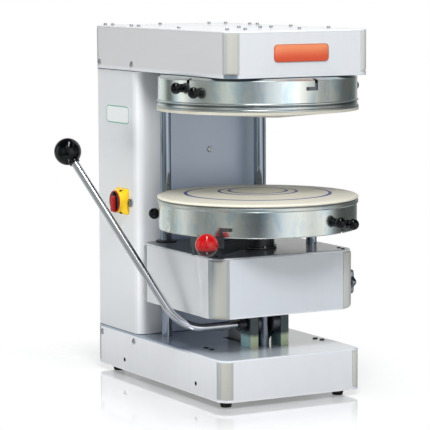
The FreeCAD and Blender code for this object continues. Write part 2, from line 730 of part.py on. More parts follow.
# Chrome rest post with a rubber end under the carriage plate.
carriage_low = lever_z + cell("carriage_above")
carriage_top = carriage_low + cell("carriage_height")
carriage_deck = carriage_top - deck
carriage_under = carriage_deck - cell("carriage_plate")
rest_post_top = carriage_under - free_gap - cell("rest_buffer")
finish(group("rest_post", [rod("rest_post_bar", post_half, (post_x, lever_y, base_floor),
                               rest_post_top - base_floor)]), "rest_post")
finish(group("rest_buffer", [rod("rest_buffer_pad", post_half - 3, (post_x, lever_y, rest_post_top),
                                 cell("rest_buffer"))]), "rest_buffer")

rods = []
for side, x in (("left", -rod_x), ("right", rod_x)):
    rods.append(rod(f"guide_rod_{side}", rod_r, (x, rod_y, base_floor), head_floor - base_floor))
finish(group("guide_rods", rods), "guide_rods")

# Column: a sheet folded round four corners, a tube frame inside and one long rear cover.
column_return = cell("column_return")
column_outside = rectangle(-column_half, column_half, column_front, column_rear)
column_shell = prism("column_shell", "z", base_top, head_low, [column_outside])
round_edges(column_shell, cell("column_round"), upright)
column_inside = prism("column_inside", "z", base_top - 1, head_low + 1,
                      [rectangle(-column_half + sheet_t, column_half - sheet_t,
                                 column_front + sheet_t, column_rear - sheet_t)])
round_edges(column_inside, cell("column_round") - sheet_t, upright)
column_mouth = box("column_mouth", (-column_half + column_return, column_half - column_return),
                   (column_rear - sheet_t - 1, column_rear + 1), (base_top - 1, head_low + 1))
finish(cut("column_cover", column_shell, [column_inside, column_mouth]), "column_cover")

finish(prism("rear_cover", "y", column_rear, rear,
             [rectangle(-half + post_r, half - post_r, base_top, head_low)]),
       "rear_cover")

frame_wall = cell("frame_wall")
frame_bar_low = head_low - cell("frame_bar_down")
frame_pieces = []
for side, x in (("left", (-frame_outer, -frame_inner)), ("right", (frame_inner, frame_outer))):
    hollow = box(f"frame_hollow_{side}", (x[0] + frame_wall, x[1] - frame_wall),
                 (frame_y[0] + frame_wall, frame_y[1] - frame_wall), (base_floor - 1, head_low + 1))
    tube = box(f"frame_bar_{side}", x, frame_y, (base_floor, head_low))
    frame_pieces.append(cut(f"frame_tube_{side}", tube, [hollow]))
frame_pieces.append(box("frame_bar", (-frame_inner, frame_inner),
                        (frame_y[0], frame_y[0] + cell("frame_bar_depth")),
                        (frame_bar_low, frame_bar_low + cell("frame_bar_height"))))
finish(fuse("column_frame", frame_pieces), "column_frame")

gland = cut("gland_solid", fuse("gland_outside", [
    rod("gland_body", cell("gland_radius") - 3 - free_gap, (gland_x, rear - sheet_t - 6, gland_z),
        26 + sheet_t, "y"),
    rod("gland_nut", cell("gland_radius"), (gland_x, rear, gland_z), 6, "y"),
    rod("gland_cap", cell("gland_radius") - 1, (gland_x, rear + 8, gland_z), 10, "y"),
]), [rod("gland_bore", cell("gland_bore"), (gland_x, rear - 20, gland_z), 60, "y")])
finish(gland, "cable_gland")

# Head: steel plate, corner profiles, panels and a top cover with cap screws.
orbit = cell("orbit")
spindle_y = -orbit
motor_y = rear - cell("motor_inset")
housing_r = cell("bearing_outer") + cell("housing_wall")
head_holes = [
    (ZERO, spindle_y, housing_r + free_gap),
    (ZERO, motor_y, cell("motor_radius") - 22),
    (-rod_x, rod_y, rod_r + fit_gap),
    (rod_x, rod_y, rod_r + fit_gap),
]
full_floor("head_plate", head_front, head_low, head_floor, [], head_holes)
panels("head_panels", (head_front, rear), post_r, (head_floor, head_deck))
corner_posts("head_corner_posts", half, head_front, rear, post_r, post_wall, (head_floor, head_deck))
full_floor("head_top_cover", head_front, head_deck, head_top, rounded=True)

screw_r = cell("screw_radius")
screw_places = []
for number, (side, inward, ahead) in enumerate(EDGE_SCREWS, 1):
    inset = half - cell(f"edge_screw_{number}_in")
    screw_places.append((-inset if side == "left" else inset, rear - cell(f"edge_screw_{number}_ahead")))
for number in range(1, len(DRIVE_SCREWS) + 1):
    screw_places.append((cell(f"drive_screw_{number}_x"), cell(f"drive_screw_{number}_y")))
screws = []
for number, (x, y) in enumerate(screw_places, 1):
    screws.append(rod(f"cap_screw_{number}", screw_r, (x, y, head_top), cell("screw_height")))
finish(group("top_cover_screws", screws), "top_cover_screws")

# Flat screws: two rows on each side of head and base, and one on the column's front.
flat = cell("rivet_height")
flat_screws = []
flat_z = (("head", head_low + cell("flat_head_up")), ("base", base_top - cell("flat_base_down")))
flat_y = (("rear", rear - cell("flat_rear_inset")), ("front", rear - cell("flat_front_inset")))
for z_name, z in flat_z:
    for y_name, y in flat_y:
        for x_name, x in (("left", -half - flat), ("right", half)):
            flat_screws.append(rod(f"flat_{z_name}_{y_name}_{x_name}", screw_r, (x, y, z), flat, "x"))
flat_screws.append(rod("flat_column", cell("face_screw_radius"),
                       (cell("face_screw_side"), column_front - flat, head_low - cell("face_screw_down")),
                       flat, "y"))
finish(group("panel_screws", flat_screws), "panel_screws")

# Bare plates where the maker's signs sit.
def rounded_plate(label, axis, low, high, centre, length, height, radius):
    body = prism(label, axis, low, high,
                 [rectangle(centre[0] - length / 2, centre[0] + length / 2,
                            centre[1] - height / 2, centre[1] + height / 2)])
    letter = {"x": "x", "y": "y"}[axis]

    def through(edge):
        ends = [getattr(vertex.Point, letter) for vertex in edge.Vertexes]
        return len(ends) == 2 and abs(ends[0] - ends[1]) > 1e-3

    round_edges(body, radius, through)
    return body


badge = rounded_plate("front_badge", "y", -head_front - cell("badge_thickness"), -head_front,
                      (cell("badge_side"), head_low + cell("badge_up")), cell("badge_width"),
                      cell("badge_height"), cell("badge_round"))
finish(badge, "front_badge")
side_label = rounded_plate("side_label", "x", -column_half - cell("label_thickness"), -column_half,
                           (rear - cell("label_inset"), head_low - cell("label_down")), cell("label_length"),
                           cell("label_height"), cell("label_round"))
finish(side_label, "side_label")

# Main switch on the left side of the column: yellow plate with a round collar, a black
# contact block behind it and a red knob in front.
switch_y = rear - cell("switch_inset")
switch_z = base_top + cell("switch_up")
switch_front = -column_half - cell("switch_depth")
collar_front = switch_front - cell("switch_collar_depth")
switch_square = rounded_plate("switch_square", "x", switch_front, -column_half, (switch_y, switch_z),
                              cell("switch_side"), cell("switch_side"), cell("switch_round"))
collar = rod("switch_collar", cell("switch_collar_radius"), (collar_front, switch_y, switch_z),
             cell("switch_collar_depth") + cell("switch_depth") / 2, "x")
stem_hole = rod("switch_stem_hole", cell("switch_stem") + free_gap, (collar_front - 1, switch_y, switch_z),
                -column_half - collar_front + 2, "x")
finish(cut("switch_plate", fuse("switch_plate_solid", [switch_square, collar]), [stem_hole]), "switch_plate")
block_x = (-column_half + sheet_t, -column_half + sheet_t + cell("switch_block_depth"))
block_half = cell("switch_block_side") / 2
contact_block = box("switch_contact_block", block_x, (switch_y - block_half, switch_y + block_half),
                    (switch_z - block_half, switch_z + block_half))
finish(group("switch_body", [contact_block]), "switch_body")
knob_back = collar_front - free_gap
disc_face = knob_back - cell("switch_knob_disc")
switch_knob = fuse("switch_knob_solid", [
    rod("switch_knob_disc", cell("switch_knob_radius"), (disc_face, switch_y, switch_z),
        cell("switch_knob_disc"), "x"),
    box("switch_knob_grip", (disc_face - cell("switch_grip_depth"), disc_face + 1),
        (switch_y - cell("switch_grip") / 2, switch_y + cell("switch_grip") / 2),
        (switch_z - cell("switch_grip_down"), switch_z + cell("switch_grip_up"))),
    rod("switch_knob_stem", cell("switch_stem"), (disc_face, switch_y, switch_z),
        -column_half - free_gap - disc_face, "x"),
])
finish(switch_knob, "switch_knob")

# Hand lever: chrome rod with one bend, black ball, black hub and the crank between the legs.
hub_right = left_leg[0] - cell("bush_flange_width") - free_gap
hub_left = hub_right - cell("hub_length")
rod_shoulder = hub_left - cell("lever_end_length")
end_r = cell("lever_end_radius")
joint_x = hub_left + cell("hub_length") / 2


def ball_centre():
    back = lever_y + cell("ball_back")
    return Vector(-cell("ball_x").value, back.value, (lever_z + cell("ball_up")).value)


def lever_path():
    """The rod's centre line: along the shaft's axis, one bend, straight to the ball."""
    corner = Vector(-cell("lever_bend_x").value, lever_y.value, lever_z.value)
    start = Vector(rod_shoulder.value, lever_y.value, lever_z.value)
    centre = ball_centre()
    inward = (start - corner).normalize()
    outward = (centre - corner).normalize()
    half_angle = inward.getAngle(outward) / 2
    radius = cell("lever_bend_radius").value
    tangent = radius / math.tan(half_angle)
    middle_way = (inward + outward).normalize()
    bend_centre = corner + middle_way * (radius / math.sin(half_angle))
    first = corner + inward * tangent
    last = corner + outward * tangent
    middle = bend_centre - middle_way * radius
    end = centre - outward * (cell("ball_radius").value * 0.6)
    edges = [Part.LineSegment(start, first).toShape(), Part.Arc(first, middle, last).toShape(),
             Part.LineSegment(last, end).toShape()]
    return Part.Wire(edges), start, end, outward


def lever_rod_shape():
    wire, start, end, outward = lever_path()
    profile = Part.Wire([Part.Circle(start, Vector(-1, 0, 0), cell("lever_rod_radius").value).toShape()])
    bar = wire.makePipeShell([profile], True, False)
    neck = Part.makeCylinder(end_r.value, joint_x.value - rod_shoulder.value, start, Vector(1, 0, 0))
    return bar.fuse(neck).removeSplitter().Solids[0]


lever_rod = doc.addObject("Part::Feature", "lever_rod")
lever_rod.Shape = lever_rod_shape()
finish(lever_rod, "lever_rod")


def lever_ball_shape():
    """A ball knob with a flat where the rod enters it."""
    wire, start, end, outward = lever_path()
    centre = ball_centre()
    radius = cell("ball_radius").value
    sphere = Part.makeSphere(radius, centre)
    neck_start = centre - outward * (radius * 1.08)
    neck = Part.makeCylinder(cell("lever_rod_radius").value + 3.5, radius * 0.5, neck_start, outward)
    socket_start = centre - outward * (radius * 1.2)
    socket = Part.makeCylinder(cell("lever_rod_radius").value, radius * 0.6, socket_start, outward)
    return sphere.fuse(neck).cut(socket).removeSplitter().Solids[0]


lever_ball = doc.addObject("Part::Feature", "lever_ball")
lever_ball.Shape = lever_ball_shape()
finish(lever_ball, "lever_ball")

hub_bores = [
    rod("hub_bore_rod", end_r + fit_gap, (hub_left - 1, lever_y, lever_z), joint_x - hub_left + 1, "x"),
    rod("hub_bore_shaft", shaft_r - 2.5 + fit_gap, (joint_x, lever_y, lever_z), hub_right - joint_x + 1, "x"),
]
hub_blank = rod("hub_blank", cell("hub_radius"), (hub_left, lever_y, lever_z), cell("hub_length"), "x")
finish(cut("lever_hub", hub_blank, hub_bores), "lever_hub")


def cheek(name, span):
    """One side of the crank: a bar from the shaft's axis to the pin, lowered at rest."""
    lean = swing + 90
    bar = doc.addObject("Part::Box", name + "_bar")
    bind(bar, "Length", span[1] - span[0])
    bind(bar, "Width", cell("crank_eye") * 1.7)
    bind(bar, "Height", crank_r)
    bar.Placement = Placement(Vector(), Rotation(Vector(1, 0, 0), -lean.value))
    reach = cell("crank_eye") * 0.85
    bind(bar, "Placement.Rotation.Angle", -lean)
    bind(bar, "Placement.Base.x", span[0])
    bind(bar, "Placement.Base.y", lever_y - reach * cosine(lean))
    bind(bar, "Placement.Base.z", lever_z + reach * sine(lean))
    return [bar,
            rod(name + "_boss", cell("crank_boss"), (span[0], lever_y, lever_z), span[1] - span[0], "x"),
            rod(name + "_eye", cell("crank_eye"), (span[0], pin_y, pin_z), span[1] - span[0], "x")]


roller_x = (post_x - cell("roller_width") / 2, post_x + cell("roller_width") / 2)
shoulder_gap = free_gap
crank_pieces = cheek("crank_left", cheek_left) + cheek("crank_right", cheek_right)
crank_pieces.append(rod("crank_shoulder_left", cell("crank_shoulder"), (cheek_left[1], pin_y, pin_z),
                        roller_x[0] - shoulder_gap - cheek_left[1], "x"))
crank_pieces.append(rod("crank_shoulder_right", cell("crank_shoulder"),
                        (roller_x[1] + shoulder_gap, pin_y, pin_z),
                        cheek_right[0] - roller_x[1] - shoulder_gap, "x"))
crank_pieces.append(rod("crank_stub_left", shaft_r, (hub_right, lever_y, lever_z),
                        cheek_left[1] - hub_right, "x"))
crank_pieces.append(rod("crank_tail", shaft_r - 2.5, (joint_x, lever_y, lever_z),
                        hub_right - joint_x + 1, "x"))
crank_pieces.append(rod("crank_stub_right", shaft_r, (cheek_right[0], lever_y, lever_z),
                        right_leg[1] + 3 - cheek_right[0], "x"))
pin_bore = rod("crank_pin_bore", cell("crank_pin"), (cheek_left[0] - 1, pin_y, pin_z),
               cheek_right[1] - cheek_left[0] + 2, "x")
finish(cut("lift_crank", fuse("crank_solid", crank_pieces), [pin_bore]), "lift_crank")
crank_pin = rod("crank_pin_bar", cell("crank_pin"), (cheek_left[0], pin_y, pin_z),
                cheek_right[1] - cheek_left[0], "x")
finish(group("crank_pin", [crank_pin]), "crank_pin")

roller_blank = rod("roller_blank", roller_r, (roller_x[0], pin_y, pin_z), cell("roller_width"), "x")
roller_bore = rod("roller_bore", cell("crank_pin") + fit_gap, (roller_x[0] - 1, pin_y, pin_z),
                  cell("roller_width") + 2, "x")
finish(cut("lift_roller", roller_blank, [roller_bore]), "lift_roller")

# Carriage: thick plate, two bush tubes, lift yoke and the same kind of cover as the base.
carriage_front = cell("carriage_front")
housing_rod_r = cell("bearing_radius") + cell("housing_wall_rod")
carriage_rear = rod_y + housing_rod_r + cell("carriage_rear_gap")
carriage_post = cell("carriage_post")
inner_half = half - sheet_t - free_gap
inner_front = carriage_front - sheet_t - free_gap
inner_rear = carriage_rear - sheet_t - free_gap
corner_cut = carriage_post + 3
octagon = [
    (-half + corner_cut, -inner_front), (half - corner_cut, -inner_front),
    (inner_half, -carriage_front + corner_cut), (inner_half, carriage_rear - corner_cut),
    (half - corner_cut, inner_rear), (-half + corner_cut, inner_rear),
    (-inner_half, carriage_rear - corner_cut), (-inner_half, -carriage_front + corner_cut),
]
bearing_r = cell("bearing_radius")
plate_holes = [(-rod_x, rod_y, bearing_r + fit_gap), (rod_x, rod_y, bearing_r + fit_gap)]
carriage_slab = prism("carriage_slab", "z", carriage_under, carriage_deck, [octagon], plate_holes)
spigot_r = cell("spigot_radius")
pan_low = carriage_top + cell("pan_foot")
carrier_low = pan_low + cell("carrier_inset")
carrier_high = carrier_low + cell("carrier_rim")
spigot = rod("table_spigot", spigot_r, (ZERO, ZERO, carriage_deck - 1), carrier_high - carriage_deck - 4)
housings = []
bearings = []
for side, x in (("left", -rod_x), ("right", rod_x)):
    tube = rod(f"housing_{side}_tube", housing_rod_r, (x, rod_y, carriage_under - cell("housing_length")),
               cell("housing_length"))
    hollow = rod(f"housing_{side}_bore", bearing_r + fit_gap,
                 (x, rod_y, carriage_under - cell("housing_length") - 1),
                 cell("housing_length") + 2)
    housings.append(cut(f"housing_{side}", tube, [hollow]))
    sleeve_low = carriage_under - cell("housing_length") + 4
    sleeve = fuse(f"bearing_{side}_outside", [
        rod(f"bearing_{side}_sleeve", bearing_r, (x, rod_y, sleeve_low), carriage_top - sleeve_low),
        rod(f"bearing_{side}_flange", cell("bearing_flange"), (x, rod_y, carriage_top),
            cell("bearing_flange_height")),
    ])
    bearings.append(cut(f"bearing_{side}", sleeve, [
        rod(f"bearing_{side}_bore", rod_r + fit_gap, (x, rod_y, sleeve_low - 1),
            carriage_top - sleeve_low + 20)]))
finish(fuse("carriage_plate", [carriage_slab, spigot] + housings), "carriage_plate")
finish(group("rod_bearings", bearings), "rod_bearings")

yoke_profile = rectangle(yoke_y[0], yoke_y[1], pin_z - yoke_reach - cell("yoke_rim"), carriage_under)
yoke_slot = rectangle(slot_y[0], slot_y[1], pin_z - yoke_reach, pin_z + yoke_reach)
finish(prism("lift_yoke", "x", yoke_x[0], yoke_x[1], [yoke_profile, yoke_slot]), "lift_yoke")

clamp_y = -cell("clamp_y")
clamp_z = carriage_low + cell("clamp_up")
panels("carriage_panels", (carriage_front, carriage_rear), carriage_post, (carriage_low, carriage_deck),
       [], [(clamp_y, clamp_z, cell("clamp_stem") + fit_gap)])
corner_posts("carriage_corner_posts", half, carriage_front, carriage_rear, carriage_post, post_wall,
             (carriage_low, carriage_deck))

cover_body = prism("carriage_cover_body", "z", carriage_deck, carriage_top,
                   [rectangle(-half, half, -carriage_front, carriage_rear)])
round_edges(cover_body, carriage_post, upright)
round_top(cover_body, carriage_top)
table_post_x = cell("table_post_x")
table_post_r = cell("table_post_radius")
cover_cuts = [rod("cover_spigot_hole", spigot_r + free_gap, (ZERO, ZERO, carriage_deck - 1), deck + 2)]
for side, x in (("left", -rod_x), ("right", rod_x)):
    cover_cuts.append(rod(f"cover_rod_hole_{side}", bearing_r + fit_gap, (x, rod_y, carriage_deck - 1),
                          deck + 2))
finish(cut("carriage_top_cover", cover_body, cover_cuts), "carriage_top_cover")

posts = []
for side, x in (("left", -table_post_x), ("right", table_post_x)):
    posts.append(rod(f"table_post_{side}", table_post_r, (x, ZERO, carriage_top),
                     carrier_high - 4 - carriage_top))
finish(group("table_posts", posts), "table_posts")

# Clamp knob on the right side of the carriage: a lobed wheel on a stem.
clamp_low = half + 3
lobe_centre = cell("clamp_radius") - cell("clamp_lobe")
clamp_pieces = [
    rod("clamp_stem", cell("clamp_stem"), (half - 20, clamp_y, clamp_z), clamp_low - half + 21, "x"),
    rod("clamp_disc", lobe_centre, (clamp_low, clamp_y, clamp_z), cell("clamp_depth"), "x"),
    rod("clamp_cap", lobe_centre * 0.45, (clamp_low, clamp_y, clamp_z), cell("clamp_depth") + 3, "x"),
]
lobe_count = 6
for number in range(lobe_count):
    lobe_angle = as_size(360.0 * number / lobe_count)
    clamp_pieces.append(rod(f"clamp_lobe_{number + 1}", cell("clamp_lobe"),
                            (clamp_low, clamp_y + lobe_centre * cosine(lobe_angle),
                             clamp_z + lobe_centre * sine(lobe_angle)), cell("clamp_depth"), "x"))
finish(fuse("clamp_knob", clamp_pieces), "clamp_knob")

# Thickness ring: a black sleeve round the spigot, with an arm, a zinc plate and a red ball.
ring_low = carriage_top + free_gap
ring_high = carrier_low - free_gap
arm_angle = cell("arm_angle")
arm_reach = band_r + cell("arm_out")
red_reach = arm_reach + cell("red_out")
arm_low = carriage_top + cell("arm_low")
ring_arm = box("ring_arm", (spigot_r + 4, arm_reach), (-cell("arm_width") / 2, cell("arm_width") / 2),
               (arm_low, arm_low + cell("arm_height")))
ring_blank = fuse("ring_blank", [
    rod("ring_body", cell("ring_radius"), (ZERO, ZERO, ring_low), ring_high - ring_low),
    rod("ring_foot", cell("ring_flange"), (ZERO, ZERO, ring_low), cell("ring_flange_height")),
    turned("ring_arm_turned", ring_arm, arm_angle),
])
ring_bore = rod("ring_bore", spigot_r + fit_gap, (ZERO, ZERO, ring_low - 1), ring_high - ring_low + 2)
finish(cut("thickness_ring", ring_blank, [ring_bore]), "thickness_ring")
red_z = carriage_top + cell("red_height")
clip_x = (arm_reach, arm_reach + cell("clip_thickness"))
clip_low = red_z - cell("clip_height") / 2
clip = box("clip_plate", clip_x, (-cell("clip_left"), cell("clip_right")),
           (clip_low, clip_low + cell("clip_height")))
tab_left = cell("clip_tab_in") - cell("clip_left")
clip_tab = box("clip_tab", clip_x, (tab_left, tab_left + cell("clip_tab_width")),
               (clip_low - cell("clip_tab_height"), clip_low + 1))
red_near = red_reach - cell("red_radius")
stem_end = red_near + cell("stem_socket")
clip_stem = rod("clip_stem", cell("stem_radius"), (arm_reach + 1, ZERO, red_z),
                stem_end - arm_reach - 1, "x")
clip_solid = fuse("clip_solid", [clip, clip_tab, clip_stem])
finish(group("thickness_clip", [turned("clip_turned", clip_solid, arm_angle)]), "thickness_clip")
red_ball = cut("red_ball_solid", ball("red_sphere", cell("red_radius"), (red_reach, ZERO, red_z)),
               [rod("red_socket", cell("stem_radius") + fit_gap, (red_near - 5, ZERO, red_z),
                    cell("stem_socket") + 5, "x")])
finish(group("thickness_ball", [turned("red_turned", red_ball, arm_angle)]), "thickness_ball")


# Pans: a sheet band with two beads and an inward edge, and a cast plate on it.
def pan_z(seat, up, distance):
    """A height inside a pan, measured from the plate's back towards the open edge."""
    return seat - distance if up else seat + distance


def side_pocket(band, name, angle, loops, holes=()):
    """A cut from the pans' axis outwards; the sketch's right hand is clockwise from above."""
    sketch = outline(band, "XZ_Plane", ZERO, loops, holes, turn=angle.value - 90)
    bind(sketch, "AttachmentOffset.Rotation.Angle", angle - 90)
    pocket = band.newObject("PartDesign::Pocket", name)
    pocket.Profile = sketch
    pocket.Type = "ThroughAll"
    band.Tip = pocket
    return pocket, sketch


def pan_band(label, seat, up, turn, sense):
    outer = band_r
    wall = cell("band_wall")
    bead = pan_r - cell("bead_inset")
    step = cell("bead_height")
    gap = cell("bead_gap")
    depth = cell("pan_depth")
    flange = outer - wall - cell("band_flange")
    at = lambda distance: pan_z(seat, up, distance)
    first = step + gap
    second = step + gap + step
    profile = [
        (flange, at(ZERO)), (bead, at(ZERO)), (bead, at(step)), (outer - 1, at(step)), (outer - 1, at(first)),
        (bead, at(first)), (bead, at(second)), (outer, at(second)), (outer, at(depth)), (flange, at(depth)),
        (flange, at(depth - wall)), (outer - wall, at(depth - wall)), (outer - wall, at(wall)), (flange, at(wall)),
    ]
    band = revolved(label, profile)
    pin = cell("pin_depth")
    half_slot = cell("slot_half")
    run = outer * cell("twist") * math.pi / 180
    for name, offset in (("knob", ZERO), ("short", cell("pin_short"))):
        angle = cell(turn) + sense * offset
        low = at(depth + 1)
        corner = at(depth - pin - half_slot)
        inside = at(depth - pin + half_slot)
        side = as_size(-sense)
        slot = [
            (side * -1 * half_slot, corner), (side * (run + half_slot), corner), (side * (run + half_slot), low),
            (side * (run - half_slot), low), (side * (run - half_slot), inside), (side * -1 * half_slot, inside),
        ]
        pocket, sketch = side_pocket(band, f"{label}_slot_{name}", angle, [slot])
        pattern = band.newObject("PartDesign::PolarPattern", f"{label}_slots_{name}")
        pattern.Originals = [pocket]
        pattern.Axis = (sketch, ["V_Axis"])
        pattern.Angle = 360.0
        pattern.Occurrences = 2
        band.Tip = pattern
    for name, offset in (("near", cell("handle_near")), ("far", cell("handle_far"))):
        stud = [(ZERO, at(depth - cell("handle_depth")), cell("pin_radius"))]
        side_pocket(band, f"{label}_hole_{name}", cell(turn) + sense * offset, [], stud)
    return finish(band, label)


def knob_on_stud(name, inner, height):
    """A small ball knob whose stud points at the pans' axis."""
    reach = band_r + cell("knob_out")
    return fuse(name, [
        ball(name + "_ball", cell("knob_radius"), (reach, ZERO, height)),
        rod(name + "_neck", cell("knob_neck"), (band_r + 0.5, ZERO, height),
            reach - band_r, "x"),
        rod(name + "_stud", cell("pin_radius"), (inner, ZERO, height), reach - inner, "x"),
    ])


def pan_handles(label, edge, up, turn, sense):
    height = edge + cell("handle_depth") if up else edge - cell("handle_depth")
    pair = []
    for name, offset in (("near", cell("handle_near")), ("far", cell("handle_far"))):
        piece = knob_on_stud(f"{label}_{name}_knob", band_r - cell("band_wall") - 4, height)
        pair.append(turned(f"{label}_{name}", piece, cell(turn) + sense * offset))
    return finish(group(label, pair), label)


def carrier(label, edge, up, turn, sense, bores):
    """A disc with a rim inside the pan; three plain pins are pressed into the rim."""
    inset = cell("carrier_inset")
    at = lambda distance: edge + distance if up else edge - distance
    rim_near = at(inset)
    rim_far = at(inset + cell("carrier_rim"))
    web_near = at(inset + cell("carrier_rim") - cell("carrier_web"))
    radius = band_r - cell("band_wall") - cell("carrier_gap")
    inner = radius - cell("carrier_rim_wall")
    boss = cell("carrier_boss")
    profile = [
        (ZERO, rim_far), (radius, rim_far), (radius, rim_near), (inner, rim_near), (inner, web_near),
        (boss, web_near), (boss, at(inset + 2)), (ZERO, at(inset + 2)),
    ]
    disc = revolved(label + "_disc", profile)
    height = at(cell("pin_depth"))
    pieces = [disc]
    press = cell("pin_press")
    short = cell("pin_short")
    for name, offset in (("short", short), ("back", as_size(180)), ("last", short + 180)):
        pin = rod(f"{label}_pin_{name}", cell("pin_radius"), (radius - press, ZERO, height),
                  band_r + 1 - radius + press, "x")
        pieces.append(turned(f"{label}_pin_{name}_turned", pin, cell(turn) + sense * offset))
    knob_bore = rod(label + "_knob_bore", cell("pin_radius"), (radius - press, ZERO, height), press + 5, "x")
    bores = bores + [turned(label + "_knob_bore_turned", knob_bore, cell(turn))]
    solid = cut(label + "_solid", fuse(label + "_blank", pieces), bores)
    knob = turned(label + "_knob_turned", knob_on_stud(label + "_knob", radius - press, height), cell(turn))
    return finish(solid, label), knob


pan_seat = pan_low + cell("pan_depth")
pan_band("lower_band", pan_seat, True, "lower_turn", -1)
pan_handles("lower_handles", pan_low, True, "lower_turn", -1)
edge_t = cell("plate_edge")
lower_plate = revolved("lower_plate", [
    (ZERO, pan_seat), (pan_r, pan_seat), (pan_r, pan_seat + edge_t - 3.5), (pan_r - 1.2, pan_seat + edge_t - 1.2),
    (pan_r - 4, pan_seat + edge_t), (cell("plate_flat"), pan_seat + edge_t + cell("lower_rise") - 0.6),
    (ZERO, pan_seat + edge_t + cell("lower_rise")),
])
finish(lower_plate, "lower_plate")
table_bores = [rod("table_bore", spigot_r + fit_gap, (ZERO, ZERO, carrier_low - 5), cell("carrier_rim") + 10)]
for side, x in (("left", -table_post_x), ("right", table_post_x)):
    table_bores.append(rod(f"table_post_bore_{side}", table_post_r + free_gap, (x, ZERO, carrier_low - 5),
                           cell("carrier_rim") + 10))
lower_parts = carrier("lower_carrier", pan_low, True, "lower_turn", -1, table_bores)
finish(group("lower_lock_knob", [lower_parts[1]]), "lower_lock_knob")

# The upper pan is the same pan upside down, with its own plate.
upper_seat = head_low - 5 - cell("pan_depth")
upper_edge = head_low - 5
pan_band("upper_band", upper_seat, False, "upper_turn", 1)
pan_handles("upper_handles", upper_edge, False, "upper_turn", 1)


def upper_plate_shape():
    """A disc with a shallow cone under it whose rounded point is off the axis."""
    radius = pan_r.value
    back = upper_seat.value
    edge = back - edge_t.value
    point = cell("upper_point").value
    angle = math.radians(cell("upper_point_angle").value)
    tip = Vector(point * math.cos(angle), point * math.sin(angle), edge - cell("upper_drop").value)
    disc = Part.makeCylinder(radius, edge_t.value, Vector(0, 0, edge), Vector(0, 0, 1))
    rim = Part.Wire([Part.Circle(Vector(0, 0, edge), Vector(0, 0, 1), radius - 4).toShape()])
    nose = Part.Wire([Part.Circle(tip, Vector(0, 0, 1), cell("upper_point_radius").value).toShape()])
    cone = Part.makeLoft([rim, nose], True, True)
    return disc.fuse(cone).Solids[0]


upper_plate = doc.addObject("Part::Feature", "upper_plate")
upper_plate.Shape = upper_plate_shape()
finish(upper_plate, "upper_plate")

journal_r = cell("journal_radius")
hold_x = cell("hold_pin_x")
hold_r = cell("hold_pin_radius")
carrier_bores = [rod("journal_bore", journal_r + fit_gap, (ZERO, ZERO, upper_edge - 40), as_size(60))]
for side, x in (("left", -hold_x), ("right", hold_x)):
    carrier_bores.append(rod(f"hold_bore_{side}", hold_r + orbit + free_gap, (x, ZERO, upper_edge - 40),
                             as_size(60)))
upper_parts = carrier("upper_carrier", upper_edge, False, "upper_turn", 1, carrier_bores)
finish(group("upper_lock_knob", [upper_parts[1]]), "upper_lock_knob")

# Drive: housing and bearings in the head plate, spindle with an offset journal,
# pulleys, flat belt and a motor that hangs in the column.
boss_top = upper_edge - cell("carrier_inset") - 2
web_top = upper_edge - cell("carrier_inset") - cell("carrier_rim") + cell("carrier_web")
housing_low = head_low - cell("housing_flange_height")
bearing_low = head_low + 8
bearing_h = cell("bearing_height")
second_low = bearing_low + cell("bearing_step")
housing_high = second_low + bearing_h + 3
flange_r = hold_x + hold_r + cell("housing_flange_rim")
housing_pieces = [
    rod("housing_body", housing_r, (ZERO, spindle_y, housing_low), housing_high - housing_low),
    rod("housing_flange", flange_r, (ZERO, spindle_y, housing_low), head_low - housing_low),
]
hold_pins = []
for side, x in (("left", -hold_x), ("right", hold_x)):
    hold_pins.append(rod(f"hold_pin_{side}", hold_r, (x, spindle_y, web_top - cell("carrier_web") + 1),
                         housing_low - web_top + cell("carrier_web") - 1))
finish(group("hold_pins", hold_pins), "hold_pins")
housing = cut("spindle_housing", fuse("housing_blank", housing_pieces), [
    rod("housing_bore", cell("bearing_outer") + fit_gap, (ZERO, spindle_y, bearing_low),
        housing_high - bearing_low + 1),
    rod("housing_mouth", cell("bearing_outer") - 5, (ZERO, spindle_y, housing_low - 1),
        bearing_low - housing_low + 2),
])
finish(housing, "spindle_housing")
spindle_r = cell("spindle_radius")
races = []
for name, low in (("lower", bearing_low), ("upper", second_low)):
    ring_solid = rod(f"race_{name}_ring", cell("bearing_outer"), (ZERO, spindle_y, low), bearing_h)
    hole = rod(f"race_{name}_bore", spindle_r + fit_gap, (ZERO, spindle_y, low - 1), bearing_h + 2)
    races.append(cut(f"race_{name}", ring_solid, [hole]))
spacer_ring = rod("race_spacer_ring", cell("bearing_outer"), (ZERO, spindle_y, bearing_low + bearing_h),
                  cell("bearing_step") - bearing_h)
spacer_hole = rod("race_spacer_bore", cell("bearing_outer") - 4, (ZERO, spindle_y, bearing_low + bearing_h - 1),
                  cell("bearing_step") - bearing_h + 2)
races.append(cut("race_spacer", spacer_ring, [spacer_hole]))
finish(group("spindle_bearings", races), "spindle_bearings")

pulley_z = housing_high + cell("pulley_up")
pulley_h = cell("pulley_height")
shoulder_low = boss_top + 1
spindle = fuse("spindle", [
    rod("spindle_shaft", spindle_r, (ZERO, spindle_y, shoulder_low),
        pulley_z + pulley_h + cell("spindle_end") - shoulder_low),
    rod("spindle_shoulder", spindle_r + 5, (ZERO, spindle_y, shoulder_low),
        bearing_low - shoulder_low - free_gap),
    rod("spindle_journal", journal_r, (ZERO, ZERO, web_top - cell("carrier_web") + 1),
        shoulder_low - web_top + cell("carrier_web")),
])
finish(spindle, "spindle")


